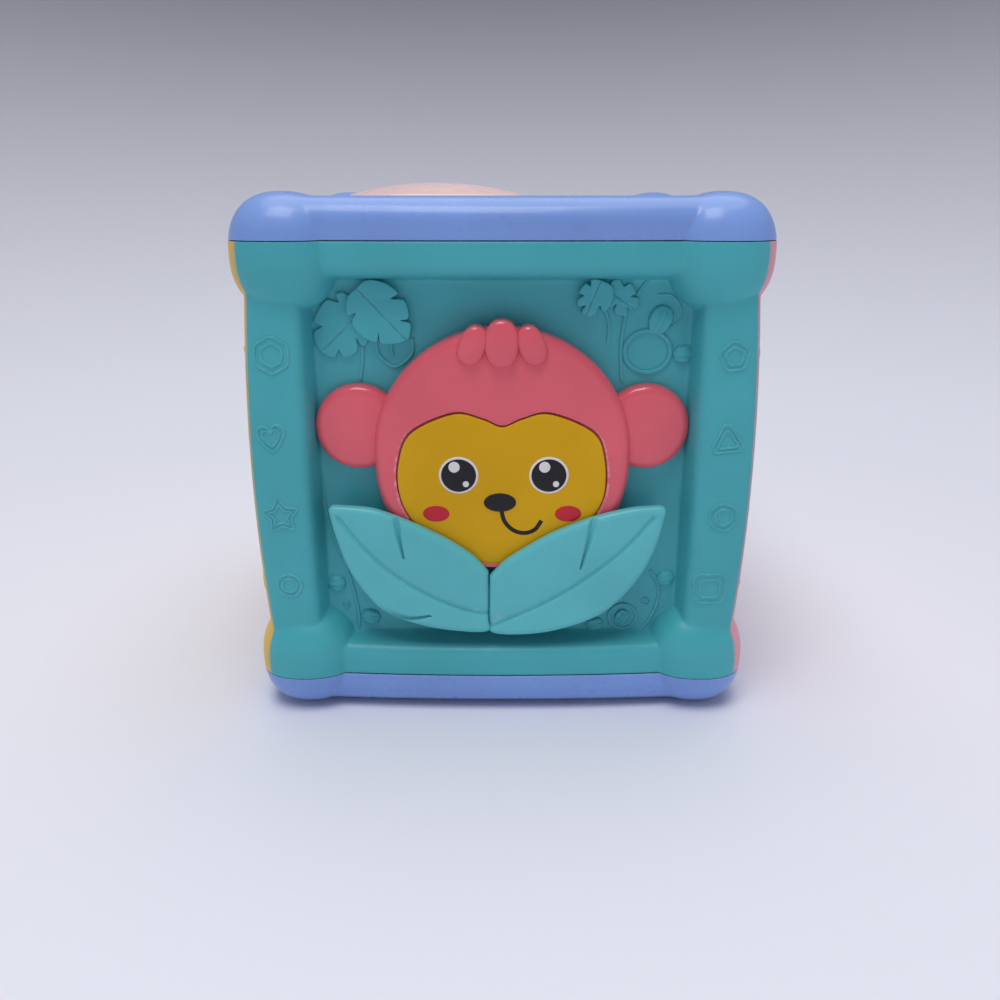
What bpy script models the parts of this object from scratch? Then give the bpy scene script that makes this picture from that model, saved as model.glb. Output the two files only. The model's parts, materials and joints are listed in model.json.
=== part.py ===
"""Activity cube for babies: six framed faces, each with a plaything, round a hollow body.

Metres, +Z up. The origin is on the ground under the middle of the cube, and the monkey's
face looks along -Y. Every face is laid out in its own flat frame: u to the right and v up
as seen from outside, and w outwards from the middle of the cube.
"""

import math

import bmesh
import bpy
from mathutils import Matrix, Vector

# Casing
cube_width = 0.166
boss_proud = 0.0050
rail_face = cube_width / 2 - boss_proud
rail_width = 0.0175
recess_half = rail_face - rail_width
end_rail_width = 0.0106
panel_height = 2 * (recess_half + end_rail_width)
rail_bow = 0.0025
edge_radius = 0.0040
wall = 0.0022
seam_gap = 0.0003
recess_depth = 0.0120
recess_draft = 0.0011
rail_crown = 0.0035
lid_rail_rise = 0.0126
lid_recess_depth = 0.0090
lid_shoulder = 0.0080
lid_corner = 0.0130
seam_overrun = 0.0060
foot_flat = 0.0004

# Corner bosses, which are the feet at the bottom
boss_half = 0.0165
boss_half_height = 0.0179
boss_drop = 0.0040
boss_power = 2.6
boss_wall = 0.0022
boss_place = cube_width / 2 - boss_half
flange_depth = 0.0170
boss_back = rail_face - flange_depth

# Posts and screws that hold the casing together
post_inset = 0.0180
post_place = boss_place - post_inset
post_radius = 0.0040
post_bore = 0.0017
post_bore_depth = 0.0180
screw_shank_radius = 0.0014
screw_head_radius = 0.0029
screw_head_height = 0.0018
screw_clearance = 0.0003
screw_length = 0.0150

# Fits
fit = 0.0003
running = 0.0004
overrun = 0.0050

# Monkey head, which slides down behind the leaves
head_margin = 0.0195
head_half_width = recess_half - head_margin
head_half_height = head_half_width * 0.963
head_centre_v = head_half_width * 0.146
head_rise = 0.0058
head_wall = 0.0018
head_travel = 0.0115
ear_place_u = head_half_width * 1.122
ear_place_v = head_half_width * 0.327
ear_radius = head_half_width * 0.337
ear_turn = math.radians(6)
back_plate_thickness = 0.0022
back_plate_margin = 0.0045
face_half_width = head_half_width * 0.805
face_half_height = head_half_width * 0.622
face_centre_v = -head_half_width * 0.159
face_inset = 0.0022
tuft_centre_v = head_centre_v + head_half_height * 0.886
tuft_half_width = head_half_width * 0.127
tuft_half_height = head_half_width * 0.178
tuft_half_depth = 0.0034
tuft_spread = head_half_width * 0.200
tuft_drop = head_half_width * 0.049

# Carriage that carries the head, and its guide behind the front panel
carriage_half_width = 0.0160
carriage_half_height = 0.0120
carriage_thickness = 0.0022
stem_half_width = 0.0040
stem_half_height = 0.0080
guide_wall = 0.0020
guide_depth = 0.0063
guide_spring_room = 0.0130
head_spring_radius = 0.0024
head_spring_bore = 0.0016

# Leaves of the pocket
left_leaf_margin = 0.0049
right_leaf_margin = 0.0076
leaf_foot_margin = 0.0057
left_leaf_reach = recess_half - left_leaf_margin
right_leaf_reach = recess_half - right_leaf_margin
leaf_top_v = -recess_half * 0.1785
leaf_bottom_v = leaf_foot_margin - recess_half
leaf_meet_u = -recess_half * 0.0727
leaf_thickness = 0.0038
leaf_edge = 0.0011
leaf_pillar_radius = 0.0030
leaf_gap = 0.0006

# Drum in the top
bezel_margin = 0.0012
bezel_wall = 0.0020
bezel_height = 0.0070
drum_margin = 0.0275
drum_radius = recess_half - drum_margin
bezel_radius = drum_radius + fit + bezel_wall
drum_u = bezel_margin + bezel_radius - recess_half
drum_peak = 0.0171
drum_skin = 0.0018
drum_travel = 0.0020
drum_edge_rise = 0.0120
drum_stem_radius = 0.0030
drum_stem_reach = 0.0040
drum_spring_radius = 0.0064
drum_spring_bore = 0.0050

# Keys beside the drum
key_count = 3
key_margin = 0.0055
key_end_margin = 0.0085
key_drum_gap = 0.0097
key_gap = 0.0070
key_width = recess_half - key_margin - (drum_u + bezel_radius + key_drum_gap)
key_u = recess_half - key_margin - key_width / 2
key_pitch = (2 * (recess_half - key_end_margin) + key_gap) / key_count
key_depth = key_pitch - key_gap
key_height = 0.0052
key_travel = 0.0022
key_edge = 0.0030
key_stem_radius = 0.0028
key_stem_reach = 0.0040
key_spring_radius = 0.0058
key_spring_bore = 0.0046

# Circuit board under the top
board_room = 0.0025
board_margin = 0.0065
board_half_width = post_place - post_radius - board_room
board_half_depth = recess_half - board_margin
board_thickness = 0.0016
board_drop = 0.0110
standoff_radius = 0.0030
standoff_inset = 0.0060
standoff_place_u = board_half_width - standoff_inset
standoff_place_v = board_half_depth - standoff_inset
button_half = 0.0030
button_height = 0.0020

# Battery box, speaker and switch in the bottom
speaker_u = recess_half * 0.661
speaker_radius = recess_half * 0.2314
speaker_height = 0.0080
speaker_magnet_radius = speaker_radius * 0.57
grille_slot_length = speaker_radius * 1.286
grille_pitch = speaker_radius * 0.343
grille_slot_width = grille_pitch / 2
grille_count = 5
cell_radius = 0.0071
cell_length = 0.0500
cell_gap = 0.0006
cell_count = 3
cell_pitch = 2 * cell_radius + cell_gap
cell_room = 0.0020
bay_length = cell_length + cell_room
bay_height = 2 * cell_radius + cell_room
box_wall = 0.0018
pillar_length = 0.0110
speaker_room = 0.0032
bay_end_u = speaker_u - speaker_radius - speaker_room - box_wall - pillar_length
bay_centre_u = bay_end_u - bay_length / 2
door_thickness = 0.0022
switch_u = recess_half * 0.165
switch_v = -recess_half * 0.628
switch_body_length = 0.0160
switch_body_width = 0.0080
switch_body_height = 0.0060
switch_travel = 0.0040
knob_length = 0.0050
knob_width = 0.0040
knob_rise = 0.0028
lead_radius = 0.0014
lead_bulge = 0.0080

# Gears on the left face
gear_margin = 0.0055
gear_reach_share = 13.75
gear_module = (recess_half - gear_margin) / gear_reach_share
gear_teeth = (14, 10, 9)
gear_thickness = 0.0058
gear_addendum = gear_module * 0.75
gear_dedendum = gear_module * 1.1
gear_backlash = gear_module * 0.25
pressure_angle = math.radians(25)
first_gear_u = -gear_module * 6
first_gear_v = -gear_module * 5.5
gear_bearings = (math.radians(30), math.radians(120))
axle_radius = 0.0036
axle_head_radius = 0.0065
axle_head_height = 0.0024
axle_tail_radius = 0.0020
axle_tail_length = 0.0080
axle_running = 0.0002
grip_radius = gear_module * 1.2
grip_place = gear_module * 4.125
grip_rise = 0.0048
grip_turn = math.radians(-90)

# Clock on the right face
dial_margin = 0.0155
dial_radius = recess_half - dial_margin
dial_thickness = 0.0020
hand_thickness = 0.0018
hour_hand_length = dial_radius * 0.533
minute_hand_length = dial_radius * 0.778
hand_hub_radius = 0.0065
hand_half_width = 0.0030
hand_tip_half_width = 0.0058
hour_hand_turn = math.radians(60)
minute_hand_turn = math.radians(-60)
clock_pin_radius = 0.0028
clock_head_radius = 0.0068
clock_head_height = 0.0034

# Flower and sliding buttons on the back face
petal_count = 6
flower_radius = recess_half * 0.446
flower_inner_radius = flower_radius * 0.685
flower_v = recess_half * 0.3636
flower_thickness = 0.0055
slide_count = 2
slide_top_v = -recess_half * 0.331
slide_pitch = recess_half * 0.413
slide_half_length = recess_half * 0.5455
slide_slot_half = 0.0026
slide_button_radius = recess_half * 0.1736
slide_button_height = 0.0065
slide_stem_radius = 0.0022
slide_clip_radius = 0.0060
slide_clip_thickness = 0.0018

# Fineness of the meshes
side_steps = 4
corner_steps = 2
boss_sides = 14
boss_bands = 8
round_sides = 18
small_sides = 8
pin_sides = 12
rim_sides = 30
lead_steps = 14
head_sides = 28

# Heights that follow from the sizes above
foot_to_seam = boss_half_height - boss_drop - foot_flat
low_seam = foot_to_seam
high_seam = low_seam + panel_height
middle = (low_seam + high_seam) / 2
panel_half = panel_height / 2
floor_face = rail_face + rail_bow - recess_depth
floor_back = floor_face - wall
lid_floor_rise = lid_rail_rise - lid_recess_depth
lid_back_rise = lid_floor_rise - wall
top_floor = high_seam + lid_floor_rise
top_floor_back = high_seam + lid_back_rise
bottom_floor = low_seam - lid_floor_rise
bottom_floor_back = low_seam - lid_back_rise

# Colours: red, green and blue, then roughness and metallic value
TEAL = (0.05, 0.36, 0.40, 0.38, 0)
LEAF = (0.09, 0.44, 0.46, 0.34, 0)
PINK = (0.78, 0.17, 0.22, 0.28, 0)
MUSTARD = (0.60, 0.36, 0.02, 0.32, 0)
BLUE = (0.16, 0.30, 0.72, 0.38, 0)
YELLOW = (0.86, 0.58, 0.10, 0.38, 0)
ROSE = (0.86, 0.42, 0.52, 0.38, 0)
MINT = (0.42, 0.74, 0.50, 0.38, 0)
ORANGE = (0.88, 0.34, 0.10, 0.36, 0)
BLUSH = (0.90, 0.68, 0.66, 0.30, 0)
CREAM = (0.86, 0.82, 0.72, 0.42, 0)
WHITE = (0.82, 0.82, 0.80, 0.45, 0)
STEEL = (0.60, 0.60, 0.62, 0.30, 1)
BOARD_GREEN = (0.04, 0.26, 0.10, 0.50, 0)
BLACK = (0.02, 0.02, 0.02, 0.50, 0)
COPPER_CELL = (0.50, 0.28, 0.12, 0.35, 1)

TOP = "top"
BOTTOM = "bottom"
FRONT = "front"
RIGHT = "right"
BACK = "back"
LEFT = "left"
QUARTER_TURNS = {FRONT: 0, RIGHT: 1, BACK: 2, LEFT: 3}


# Scene and object helpers


def clear_scene():
    for old in list(bpy.data.objects):
        bpy.data.objects.remove(old, do_unlink=True)


def material(name, look):
    made = bpy.data.materials.get(name) or bpy.data.materials.new(name)
    made.use_nodes = True
    shader = made.node_tree.nodes["Principled BSDF"]
    shader.inputs["Base Color"].default_value = (*look[:3], 1)
    shader.inputs["Roughness"].default_value = look[3]
    shader.inputs["Metallic"].default_value = look[4]
    made.diffuse_color = (*look[:3], 1)
    return made


def face_matrix(face):
    """Turns the flat frame of a face, held as (u, v, w), into the cube's frame."""
    if face == TOP:
        return Matrix.Identity(4)
    if face == BOTTOM:
        return Matrix.Rotation(math.pi, 4, "X")
    upright = Matrix(((1, 0, 0, 0), (0, 0, -1, 0), (0, 1, 0, 0), (0, 0, 0, 1)))
    turn = Matrix.Rotation(QUARTER_TURNS[face] * math.pi / 2, 4, "Z")
    return Matrix.Translation((0, 0, middle)) @ turn @ upright


def mesh_of(bm, name):
    bmesh.ops.recalc_face_normals(bm, faces=bm.faces)
    mesh = bpy.data.meshes.new(name)
    bm.to_mesh(mesh)
    bm.free()
    return mesh


def piece(name, mesh, look, face, u=0.0, v=0.0):
    """Adds a sub-part whose mesh is in the frame of a face, counted from (u, v)."""
    obj = bpy.data.objects.new(name, mesh)
    bpy.context.scene.collection.objects.link(obj)
    obj.matrix_world = face_matrix(face) @ Matrix.Translation((u, v, 0))
    mesh.materials.append(material(name, look))
    mesh.shade_smooth()
    mesh.set_sharp_from_angle(angle=math.radians(35))
    return obj


def helper(owner, mesh, label):
    """A cutter or filler in its owner's own frame, left out of the model."""
    obj = bpy.data.objects.new(owner.name + "_" + label, mesh)
    bpy.context.scene.collection.objects.link(obj)
    obj.parent = owner
    obj.hide_render = True
    obj.display_type = "WIRE"
    return obj


def boolean(owner, mesh, label, operation):
    tool = helper(owner, mesh, label)
    modifier = owner.modifiers.new(label, "BOOLEAN")
    modifier.operation = operation
    modifier.solver = "EXACT"
    modifier.object = tool
    return tool


def cut(owner, mesh, label):
    return boolean(owner, mesh, label, "DIFFERENCE")


def join(owner, mesh, label):
    return boolean(owner, mesh, label, "UNION")


def keep(owner, mesh, label):
    return boolean(owner, mesh, label, "INTERSECT")


# Shapes, all in a face's own frame


def add_loft(bm, rings, loop=False):
    """Joins rings of equal length with faces. Ends are capped unless the rings close on themselves."""
    rows = [[bm.verts.new(point) for point in ring] for ring in rings]
    pairs = list(zip(rows, rows[1:]))
    if loop:
        pairs.append((rows[-1], rows[0]))
    for low, high in pairs:
        for index in range(len(low)):
            after = (index + 1) % len(low)
            bm.faces.new((low[index], low[after], high[after], high[index]))
    if not loop:
        bm.faces.new(rows[0])
        bm.faces.new(rows[-1])


def loft(rings, name, loop=False):
    bm = bmesh.new()
    add_loft(bm, rings, loop)
    return mesh_of(bm, name)


def circle(radius, sides, u=0.0, v=0.0, start=0.0):
    angles = [start + 2 * math.pi * index / sides for index in range(sides)]
    return [(u + radius * math.cos(a), v + radius * math.sin(a)) for a in angles]


def add_prism(bm, outline, low, high):
    add_loft(bm, [[(u, v, low) for u, v in outline], [(u, v, high) for u, v in outline]])


def prism(outline, low, high, name):
    bm = bmesh.new()
    add_prism(bm, outline, low, high)
    return mesh_of(bm, name)


def prisms(outlines, low, high, name):
    bm = bmesh.new()
    for outline in outlines:
        add_prism(bm, outline, low, high)
    return mesh_of(bm, name)


def rectangle(left, right, low, high):
    return [(left, low), (right, low), (right, high), (left, high)]


def centred(half_width, half_height, u=0.0, v=0.0):
    return rectangle(u - half_width, u + half_width, v - half_height, v + half_height)


def rounded(half_width, half_height, radius, u=0.0, v=0.0, steps=3):
    """A rectangle with rounded corners, anticlockwise."""
    points = []
    for quarter, (side, rise) in enumerate(((1, 1), (-1, 1), (-1, -1), (1, -1))):
        for step in range(steps + 1):
            angle = (quarter + step / steps) * math.pi / 2
            points.append(
                (
                    u + side * (half_width - radius) + radius * math.cos(angle),
                    v + rise * (half_height - radius) + radius * math.sin(angle),
                )
            )
    return points


def turned(profile, sides, name, u=0.0, v=0.0, loop=False):
    """Turns a list of (radius, w) about the w axis through (u, v)."""
    rings = [[(x, y, w) for x, y in circle(radius, sides, u, v)] for radius, w in profile]
    return loft(rings, name, loop)


def tube_profile(radius, bore, low, high):
    return [(radius, low), (radius, high), (bore, high), (bore, low)]


def superellipsoid(bm, centre, halves, power, sides, bands):
    """A ball whose sides flatten as the power grows."""
    rows = []
    for band in range(1, bands):
        tilt = math.pi * band / bands
        row = []
        for side in range(sides):
            turn = 2 * math.pi * (side + 0.5) / sides
            way = Vector((math.sin(tilt) * math.cos(turn), math.sin(tilt) * math.sin(turn), math.cos(tilt)))
            row.append(bm.verts.new(stretched(way, centre, halves, power)))
        rows.append(row)
    north = bm.verts.new(stretched(Vector((0, 0, 1)), centre, halves, power))
    south = bm.verts.new(stretched(Vector((0, 0, -1)), centre, halves, power))
    for index in range(sides):
        after = (index + 1) % sides
        bm.faces.new((north, rows[0][index], rows[0][after]))
        bm.faces.new((south, rows[-1][after], rows[-1][index]))
        for upper, lower in zip(rows, rows[1:]):
            bm.faces.new((upper[index], lower[index], lower[after], upper[after]))


def stretched(way, centre, halves, power):
    reach = sum(abs(part) ** power for part in way) ** (-1 / power)
    return Vector(centre) + Vector([part * reach * half for part, half in zip(way, halves)])


# Casing


def frame_ring(half_u, half_v, w, corner, slide, lift):
    """One square ring of a framed face. Its sides swell outwards by slide and upwards by lift."""
    points = []
    steps_round = corner_steps if corner else 0
    for quarter in range(4):
        turn = quarter * math.pi / 2
        along, across = (half_v, half_u) if quarter % 2 == 0 else (half_u, half_v)
        straight = along - corner
        for step in range(side_steps):
            share = -1 + 2 * step / side_steps
            swell = 1 - share * share
            points.append((across + slide * swell, share * straight, w + lift * swell, turn))
        points.append((across, straight, w, turn))
        for step in range(1, steps_round):
            angle = step / steps_round * math.pi / 2
            out = across - corner + corner * math.cos(angle)
            side = straight + corner * math.sin(angle)
            points.append((out, side, w, turn))
        if not corner:
            points.pop()
    return [
        (a * math.cos(t) - b * math.sin(t), a * math.sin(t) + b * math.cos(t), w)
        for a, b, w, t in points
    ]


def panel_section():
    """Rings of a side panel from its floor's front, over the rail and back under it."""
    seam = panel_half + seam_overrun
    face = rail_face
    mitre = face - edge_radius * (1 - math.sqrt(0.5))
    inner_mitre = mitre - wall * math.sqrt(0.5)
    lip = recess_half + recess_draft
    return [
        (recess_half, recess_half, floor_face, 0, 0),
        (lip, lip, face - rail_crown / 2, 0, rail_bow),
        (lip + rail_crown / 2, lip + rail_crown / 2, face - rail_crown / 4, 0, rail_bow),
        (lip + rail_crown, lip + rail_crown, face, 0, rail_bow),
        (face - edge_radius, seam, face, rail_bow, rail_bow),
        (mitre, seam + wall / 4, mitre, rail_bow, rail_bow),
        (face, seam + wall / 2, face - edge_radius, rail_bow, 0),
        (face, seam + wall, boss_back, rail_bow, 0),
        (face - wall, seam, boss_back, rail_bow, 0),
        (face - wall, seam - wall / 4, face - edge_radius, rail_bow, 0),
        (inner_mitre, seam - wall / 2, inner_mitre, rail_bow, rail_bow),
        (face - edge_radius - wall / 2, seam - wall, face - wall, rail_bow, rail_bow),
        (lip + wall + rail_crown / 4, lip + wall + rail_crown / 4, face - wall, 0, rail_bow),
        (recess_half + wall, recess_half + wall, floor_back, 0, 0),
    ]


def lid_section():
    """Rings of a lid from its recess floor, over the rail and down the skirt, then back inside."""
    face = rail_face
    lip = recess_half + recess_draft
    top = lid_rail_rise
    below = -seam_overrun
    return [
        (recess_half, lid_floor_rise, 0),
        (lip, top - rail_crown * 3 / 4, 0),
        (lip + rail_crown / 4, top - rail_crown / 4, 0),
        (lip + rail_crown * 3 / 4, top, 0),
        (face - lid_shoulder, top, 0),
        (face - lid_shoulder / 2, top - lid_shoulder / 6, rail_bow / 2),
        (face - lid_shoulder / 8, top - lid_shoulder * 0.6, rail_bow),
        (face, top - lid_shoulder * 1.1, rail_bow),
        (face, below, rail_bow),
        (face - wall, below, rail_bow),
        (face - wall, top - lid_shoulder * 1.1, rail_bow),
        (face - wall - lid_shoulder / 6, top - lid_shoulder * 0.7, rail_bow / 2),
        (face - lid_shoulder, top - wall, 0),
        (lip + rail_crown / 4 + wall, top - wall, 0),
        (recess_half + wall, lid_back_rise, 0),
    ]


def bosses(halves, name, side_heights, side_w):
    """Four balls at the corners of a face, in its own frame."""
    bm = bmesh.new()
    for side_u in (-1, 1):
        for side_v in (-1, 1):
            centre = (side_u * boss_place, side_v * side_heights, side_w)
            superellipsoid(bm, centre, halves, boss_power, boss_sides, boss_bands)
    return mesh_of(bm, name)


def side_panel(name, face, look, holes):
    """A framed side panel: its bosses are shared with its neighbours along mitred edges."""
    section = panel_section()
    rings = [frame_ring(u, v, w, 0, slide, lift) for u, v, w, slide, lift in section]
    panel = piece(name, loft(rings, name), look, face)
    boss_height = panel_half - boss_drop
    outer = (boss_half, boss_half_height, boss_half)
    inner = tuple(half - boss_wall for half in outer)
    join(panel, bosses(outer, name, boss_height, boss_place), "bosses")
    cut(panel, bosses(inner, name, boss_height, boss_place), "boss_hollows")
    reach = panel_half - seam_gap / 2
    mitre = seam_gap * math.sqrt(0.5)
    near = boss_back
    far = cube_width / 2 + overrun
    rings = [[(u, v, w) for u, v in centred(w - mitre, reach)] for w in (near, far)]
    keep(panel, loft(rings, name), "limits")
    if holes:
        cut(panel, prisms(holes, floor_back - overrun, floor_face + overrun, name), "holes")
    return panel


def lid(name, face, height, look):
    """A lid with its rail, floor and bosses. Its frame counts w from its seam, at height."""
    rings = [
        frame_ring(half, half, height + w, max(half - (rail_face - lid_corner), wall / 4), slide, 0)
        for half, w, slide in lid_section()
    ]
    made = piece(name, loft(rings, name), look, face)
    outer = (boss_half, boss_half, boss_half_height)
    inner = tuple(half - boss_wall for half in outer)
    join(made, bosses(outer, name, boss_place, height - boss_drop), "bosses")
    cut(made, bosses(inner, name, boss_place, height - boss_drop), "boss_hollows")
    deep = height - boss_half_height * 2
    cut(made, prism(centred(cube_width, cube_width), deep, height + seam_gap / 2, name), "seam")
    return made


def post_corners():
    return [(side_u * post_place, side_v * post_place) for side_u in (-1, 1) for side_v in (-1, 1)]


def posts_and_screws():
    low = bottom_floor_back + fit
    high = top_floor_back - fit
    bore_top = low + post_bore_depth
    for index, (u, v) in enumerate(post_corners(), 1):
        profile = [
            (post_bore, bore_top),
            (post_bore, low),
            (post_radius, low),
            (post_radius, high),
        ]
        mesh = turned(profile, small_sides, "post")
        piece("corner_post_%d" % index, mesh, WHITE, TOP, u, v)
        head_low = bottom_floor - fit - screw_head_height
        piece("case_screw_%d" % index, screw_mesh(head_low, 1), STEEL, TOP, u, v)


def screw_mesh(head_low, way, length=screw_length):
    """A pan-head screw along w, with its head's outer face at head_low."""
    head_top = head_low + way * screw_head_height
    profile = [
        (screw_head_radius * 0.7, head_low),
        (screw_head_radius, head_low + way * screw_head_height * 0.4),
        (screw_head_radius, head_top),
        (screw_shank_radius, head_top),
        (screw_shank_radius, head_top + way * length),
    ]
    return turned(profile, small_sides, "screw")


# Front face


def head_outline(scale):
    """Round over the crown and fuller at the cheeks."""
    points = []
    for index in range(head_sides):
        angle = 2 * math.pi * (index + 0.5) / head_sides
        power = 2.0 if math.sin(angle) > 0 else 2.5
        reach = (abs(math.cos(angle)) ** power + abs(math.sin(angle)) ** power) ** (-1 / power)
        u = head_half_width * scale * reach * math.cos(angle)
        points.append((u, head_half_height * scale * reach * math.sin(angle)))
    return points


dome_shares = ((1.0, 0.0), (0.995, 0.30), (0.965, 0.58), (0.90, 0.80), (0.76, 0.94), (0.50, 1.0))


def dome(low, rise, scale, name):
    """A pillow on the head's outline."""
    rings = []
    for spread_share, rise_share in dome_shares:
        w = low + rise * rise_share
        rings.append([(u, v + head_centre_v, w) for u, v in head_outline(scale * spread_share)])
    return loft(rings, name)


face_shares = (
    (0.0, 0.82),
    (0.22, 0.94),
    (0.46, 1.0),
    (0.74, 0.88),
    (0.93, 0.62),
    (1.0, 0.32),
    (0.97, -0.06),
    (0.86, -0.42),
    (0.66, -0.72),
    (0.38, -0.93),
    (0.0, -1.0),
)


def face_outline(margin):
    half_width = face_half_width + margin
    half_height = face_half_height + margin
    right = [(u * half_width, face_centre_v + v * half_height) for u, v in face_shares]
    left = [(-u, v) for u, v in right[1:-1]]
    return right + left[::-1]


def head_levels():
    plate_low = floor_face + running
    plate_high = plate_low + back_plate_thickness
    return plate_low, plate_high, plate_high + fit


def monkey_head():
    plate_low, plate_high, shell_low = head_levels()
    face_floor = shell_low + head_rise - face_inset
    peak = shell_low + head_rise
    shell = piece("head_shell", dome(shell_low, head_rise, 1.0, "head"), PINK, FRONT)
    for lock, side in (("left_lock", -1), ("right_lock", 1), ("middle_lock", 0)):
        tuft = bmesh.new()
        centre = (side * tuft_spread, tuft_centre_v - abs(side) * tuft_drop, shell_low + tuft_half_depth + fit)
        halves = (tuft_half_width, tuft_half_height - abs(side) * tuft_drop, tuft_half_depth)
        superellipsoid(tuft, centre, halves, 2, small_sides, small_sides // 2)
        join(shell, mesh_of(tuft, lock), lock)
    hollow_scale = 1 - head_wall / head_half_width
    hollow = dome(shell_low - fit, face_floor - head_wall - shell_low + fit, hollow_scale, "head")
    cut(shell, hollow, "hollow")
    cut(shell, prism(face_outline(fit), face_floor, peak + overrun, "face"), "face_seat")
    face = piece("face_plate", prism(face_outline(0), face_floor + fit, peak + overrun, "face"), MUSTARD, FRONT)
    keep(face, dome(shell_low, head_rise, 1.0, "face"), "dome")
    plate = piece("head_back_plate", prism(plate_outline(), plate_low, plate_high, "plate"), PINK, FRONT)
    ears = [circle(ear_radius, round_sides, side * ear_place_u, ear_place_v, ear_turn) for side in (-1, 1)]
    join(plate, prisms(ears, plate_low, plate_high, "ears"), "ears")
    hole = circle(screw_shank_radius + screw_clearance, small_sides, 0, head_centre_v)
    cut(plate, prism(hole, plate_low - fit, plate_high + fit, "hole"), "screw_hole")


def plate_outline():
    scale = 1 - back_plate_margin / head_half_width
    return [(u, v + head_centre_v) for u, v in head_outline(scale)]


def carriage_levels():
    high = floor_back - fit
    return high - carriage_thickness, high


def carriage():
    low, high = carriage_levels()
    plate_low = head_levels()[0]
    body = centred(carriage_half_width, carriage_half_height, 0, head_centre_v)
    obj = piece("head_carriage", prism(body, low, high, "carriage"), WHITE, FRONT)
    stem = centred(stem_half_width, stem_half_height, 0, head_centre_v)
    join(obj, prism(stem, (low + high) / 2, plate_low - fit, "stem"), "stem")
    hole = circle(screw_shank_radius + screw_clearance, small_sides, 0, head_centre_v)
    cut(obj, prism(hole, low - fit, plate_low + fit, "hole"), "screw_hole")
    length = head_levels()[1] - low + fit
    screw = screw_mesh(low - fit - screw_head_height, 1, length)
    piece("head_screw", screw, STEEL, FRONT, 0, head_centre_v)


def guide():
    """The cover behind the front panel, in which the carriage and its spring run."""
    low = carriage_levels()[0]
    deep = floor_back - guide_depth
    half = carriage_half_width + running
    top = head_centre_v + carriage_half_height + running
    bottom = head_centre_v - carriage_half_height - head_travel - guide_spring_room
    outer = rectangle(-half - guide_wall, half + guide_wall, bottom - guide_wall, top + guide_wall)
    obj = piece("carriage_guide", prism(outer, deep - guide_wall, floor_back - fit, "guide"), WHITE, FRONT)
    cut(obj, prism(rectangle(-half, half, bottom, top), deep, floor_back + overrun, "room"), "room")
    spring_top = head_centre_v - carriage_half_height - fit
    spring_w = (low + carriage_levels()[1]) / 2 - head_spring_radius + carriage_thickness / 2
    profile = tube_profile(head_spring_radius, head_spring_bore, bottom + fit, spring_top)
    mesh = turned(profile, small_sides, "spring", loop=True)
    mesh.transform(Matrix(((1, 0, 0, 0), (0, 0, 1, 0), (0, -1, 0, spring_w), (0, 0, 0, 1))))
    piece("head_spring", mesh, STEEL, FRONT)


leaf_reaches = {-1: left_leaf_reach, 1: right_leaf_reach}

left_leaf_shares = (
    (1.0, 0.005),
    (0.84, 0.0),
    (0.73, 0.035),
    (0.64, 0.09),
    (0.48, 0.17),
    (0.26, 0.27),
    (0.12, 0.37),
    (0.0, 0.555),
    (0.0, 1.0),
    (0.20, 0.995),
    (0.42, 0.955),
    (0.62, 0.865),
    (0.78, 0.72),
    (0.90, 0.49),
    (0.97, 0.22),
)
right_leaf_shares = (
    (1.0, 0.03),
    (0.78, 0.036),
    (0.58, 0.115),
    (0.37, 0.225),
    (0.22, 0.335),
    (0.10, 0.435),
    (0.0, 0.56),
    (0.0, 1.0),
    (0.17, 1.025),
    (0.38, 0.99),
    (0.60, 0.89),
    (0.74, 0.75),
    (0.865, 0.545),
    (0.945, 0.34),
    (0.995, 0.10),
)


def leaf_outline(side):
    shares = left_leaf_shares if side < 0 else right_leaf_shares
    start = leaf_meet_u + side * leaf_gap / 2
    length = leaf_reaches[side] - side * leaf_meet_u
    drop = leaf_bottom_v - leaf_top_v
    return [(start + side * u * (length - leaf_gap), leaf_top_v + v * drop) for u, v in shares]


leaf_pillar_shares = ((0.80, 0.46), (0.22, 0.90))


def leaf(name, side):
    """One leaf of the pocket, standing on two pillars clear of the sliding head."""
    low = head_levels()[2] + head_rise + fit
    high = low + leaf_thickness
    outline = leaf_outline(side)
    middle_u = sum(u for u, v in outline) / len(outline)
    middle_v = sum(v for u, v in outline) / len(outline)
    drawn = 1 - leaf_edge / (leaf_reaches[side] / 2)
    crest = [(middle_u + (u - middle_u) * drawn, middle_v + (v - middle_v) * drawn) for u, v in outline]
    rings = [
        [(u, v, low) for u, v in outline],
        [(u, v, high - leaf_edge) for u, v in outline],
        [(u, v, high) for u, v in crest],
    ]
    obj = piece(name, loft(rings, name), LEAF, FRONT)
    drop = leaf_bottom_v - leaf_top_v
    pillars = [
        circle(leaf_pillar_radius, small_sides, side * u * leaf_reaches[side], leaf_top_v + v * drop)
        for u, v in leaf_pillar_shares
    ]
    join(obj, prisms(pillars, floor_face + fit, low + leaf_thickness / 2, name), "pillars")


# Top face


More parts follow.
